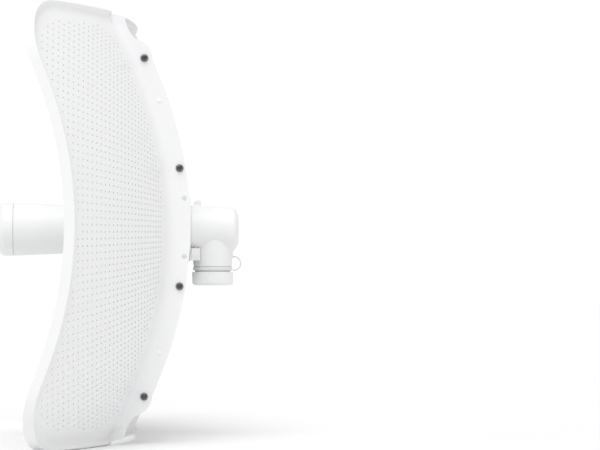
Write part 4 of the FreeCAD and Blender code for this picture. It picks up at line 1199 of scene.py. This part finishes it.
@dataclass(frozen=True)
class Softening:
    """How one moulding is softened: its grain of voxels, its smoothing and what share of faces is kept."""

    node: str
    body: str
    slot: str
    voxel: float
    passes: int = 6
    keep: float = 0.35


@dataclass
class Mouldings:
    """The plastic parts, with the small radii and blended joins that a mould leaves on every edge."""

    parts: tuple[Softening, ...] = (
        Softening("rear_housing", "dish", "housing_plastic", 0.42 * MM, 10),
        Softening("feed_cap", "dish", "housing_plastic", 0.5 * MM, 7),
        Softening("front_collar", "dish", "housing_plastic", 0.55 * MM, 5),
        Softening("port_cap", "port_cap", "housing_plastic", 0.36 * MM, 6),
        Softening("cap_tether_ring", "cap_carrier", "tether_plastic", 0.24 * MM, 4),
        Softening("release_latch", "release_latch", "housing_plastic", 0.17 * MM, 4),
    )

    def soften(self, part: Softening) -> bpy.types.Object:
        """Return a softened copy of a moulding."""
        rough = new_object(f"{part.node}_rough", frame["nodes"][part.node].data.copy())
        remesh = rough.modifiers.new("even_faces", "REMESH")
        remesh.mode = "VOXEL"
        remesh.voxel_size = part.voxel
        smooth = rough.modifiers.new("round_edges", "SMOOTH")
        smooth.factor = 0.5
        smooth.iterations = part.passes
        thin = rough.modifiers.new("fewer_faces", "DECIMATE")
        thin.ratio = part.keep
        mesh = baked(rough)
        mesh.shade_smooth()
        mesh.materials.clear()
        return new_object(f"{part.node}_moulding", mesh)

    def make(self) -> None:
        """Soften every moulding and hand it to the frame."""
        for part in self.parts:
            settle(self.soften(part), part.body, part.slot, [part.node])


# What stays as it is in the frame


class CarriedNodes:
    """The frame's own pieces, which keep their shapes and get better finishes."""

    def make(self) -> None:
        """Dress every node by its material slot."""
        for part in frame["record"]["subparts"]:
            node = frame["nodes"][part["node"]]
            node.data.materials.clear()
            node.data.materials.append(SLOT_FINISH[part["material_slot"]].material())
            log.info("dressed %s as %s", node.name, part["material_slot"])


# Studio


@dataclass
class Studio:
    """Floor, lights and camera."""

    floor_drop: float = 0.3 * MM
    floor_reach: float = 12.0
    camera_place: Vector = field(default_factory=lambda: Vector((2.730, -0.0653, -0.0444)))
    camera_aim: Vector = field(default_factory=lambda: Vector((0.0, 0.1102, 0.0044)))
    lens: float = 168.0
    backdrop: float = 1.02
    ambient: float = 0.73
    sun_toward: Vector = field(default_factory=lambda: Vector((0.55, -0.1, 1.0)))
    sun_strength: float = 1.4
    sun_angle: float = math.radians(40.0)

    def floor(self) -> None:
        """Lay a wide pale floor just under the dish."""
        low = CAD_BOX[0].z - self.floor_drop
        mesh = bpy.data.meshes.new("floor")
        corners = ((-1, -1), (1, -1), (1, 1), (-1, 1))
        mesh.from_pydata([(across * self.floor_reach, along * self.floor_reach, low)
                          for across, along in corners], [], [(0, 1, 2, 3)])
        ground = new_object("floor", mesh)
        mesh.materials.append(StudioFloor().material())

    def world(self) -> None:
        """Fill the studio with even light, behind a white backdrop."""
        world = bpy.data.worlds.new("studio_world")
        world.use_nodes = True
        net = Net(world.node_tree)
        white = (1.0, 1.0, 1.0, 1.0)
        seen = net.wire("ShaderNodeBackground", {"Color": white, "Strength": self.backdrop})
        fill = net.wire("ShaderNodeBackground", {"Color": white, "Strength": self.ambient})
        direct = net.wire("ShaderNodeLightPath", output="Is Camera Ray")
        both = net.wire("ShaderNodeMixShader", {0: direct, 1: fill, 2: seen})
        net.tree.links.new(both.socket, net.tree.nodes["World Output"].inputs[0])
        bpy.context.scene.world = world

    def sun(self) -> None:
        """Add a wide, soft sun."""
        lamp = bpy.data.lights.new("key_light", "SUN")
        lamp.energy = self.sun_strength
        lamp.angle = self.sun_angle
        holder = new_object("key_light", lamp)
        holder.rotation_euler = self.sun_toward.to_track_quat("Z", "Y").to_euler()

    def make(self) -> None:
        """Set up the studio."""
        self.floor()
        self.world()
        self.sun()
        bpy.context.scene.view_settings.view_transform = "Standard"
        camera = bpy.data.cameras.new("camera")
        camera.lens = self.lens
        camera.sensor_width = 36.0
        camera.clip_end = 50.0
        holder = new_object("camera", camera)
        holder.location = self.camera_place
        holder.rotation_euler = (self.camera_aim - self.camera_place).to_track_quat("-Z", "Y").to_euler()
        bpy.context.scene.camera = holder


def main() -> None:
    """Build every sub-assembly in order."""
    Studio().make()
    CarriedNodes().make()
    dish = Dish()
    dish.make()
    FlangeFasteners(dish).make()
    Mouldings().make()


if __name__ == "__main__":
    main()
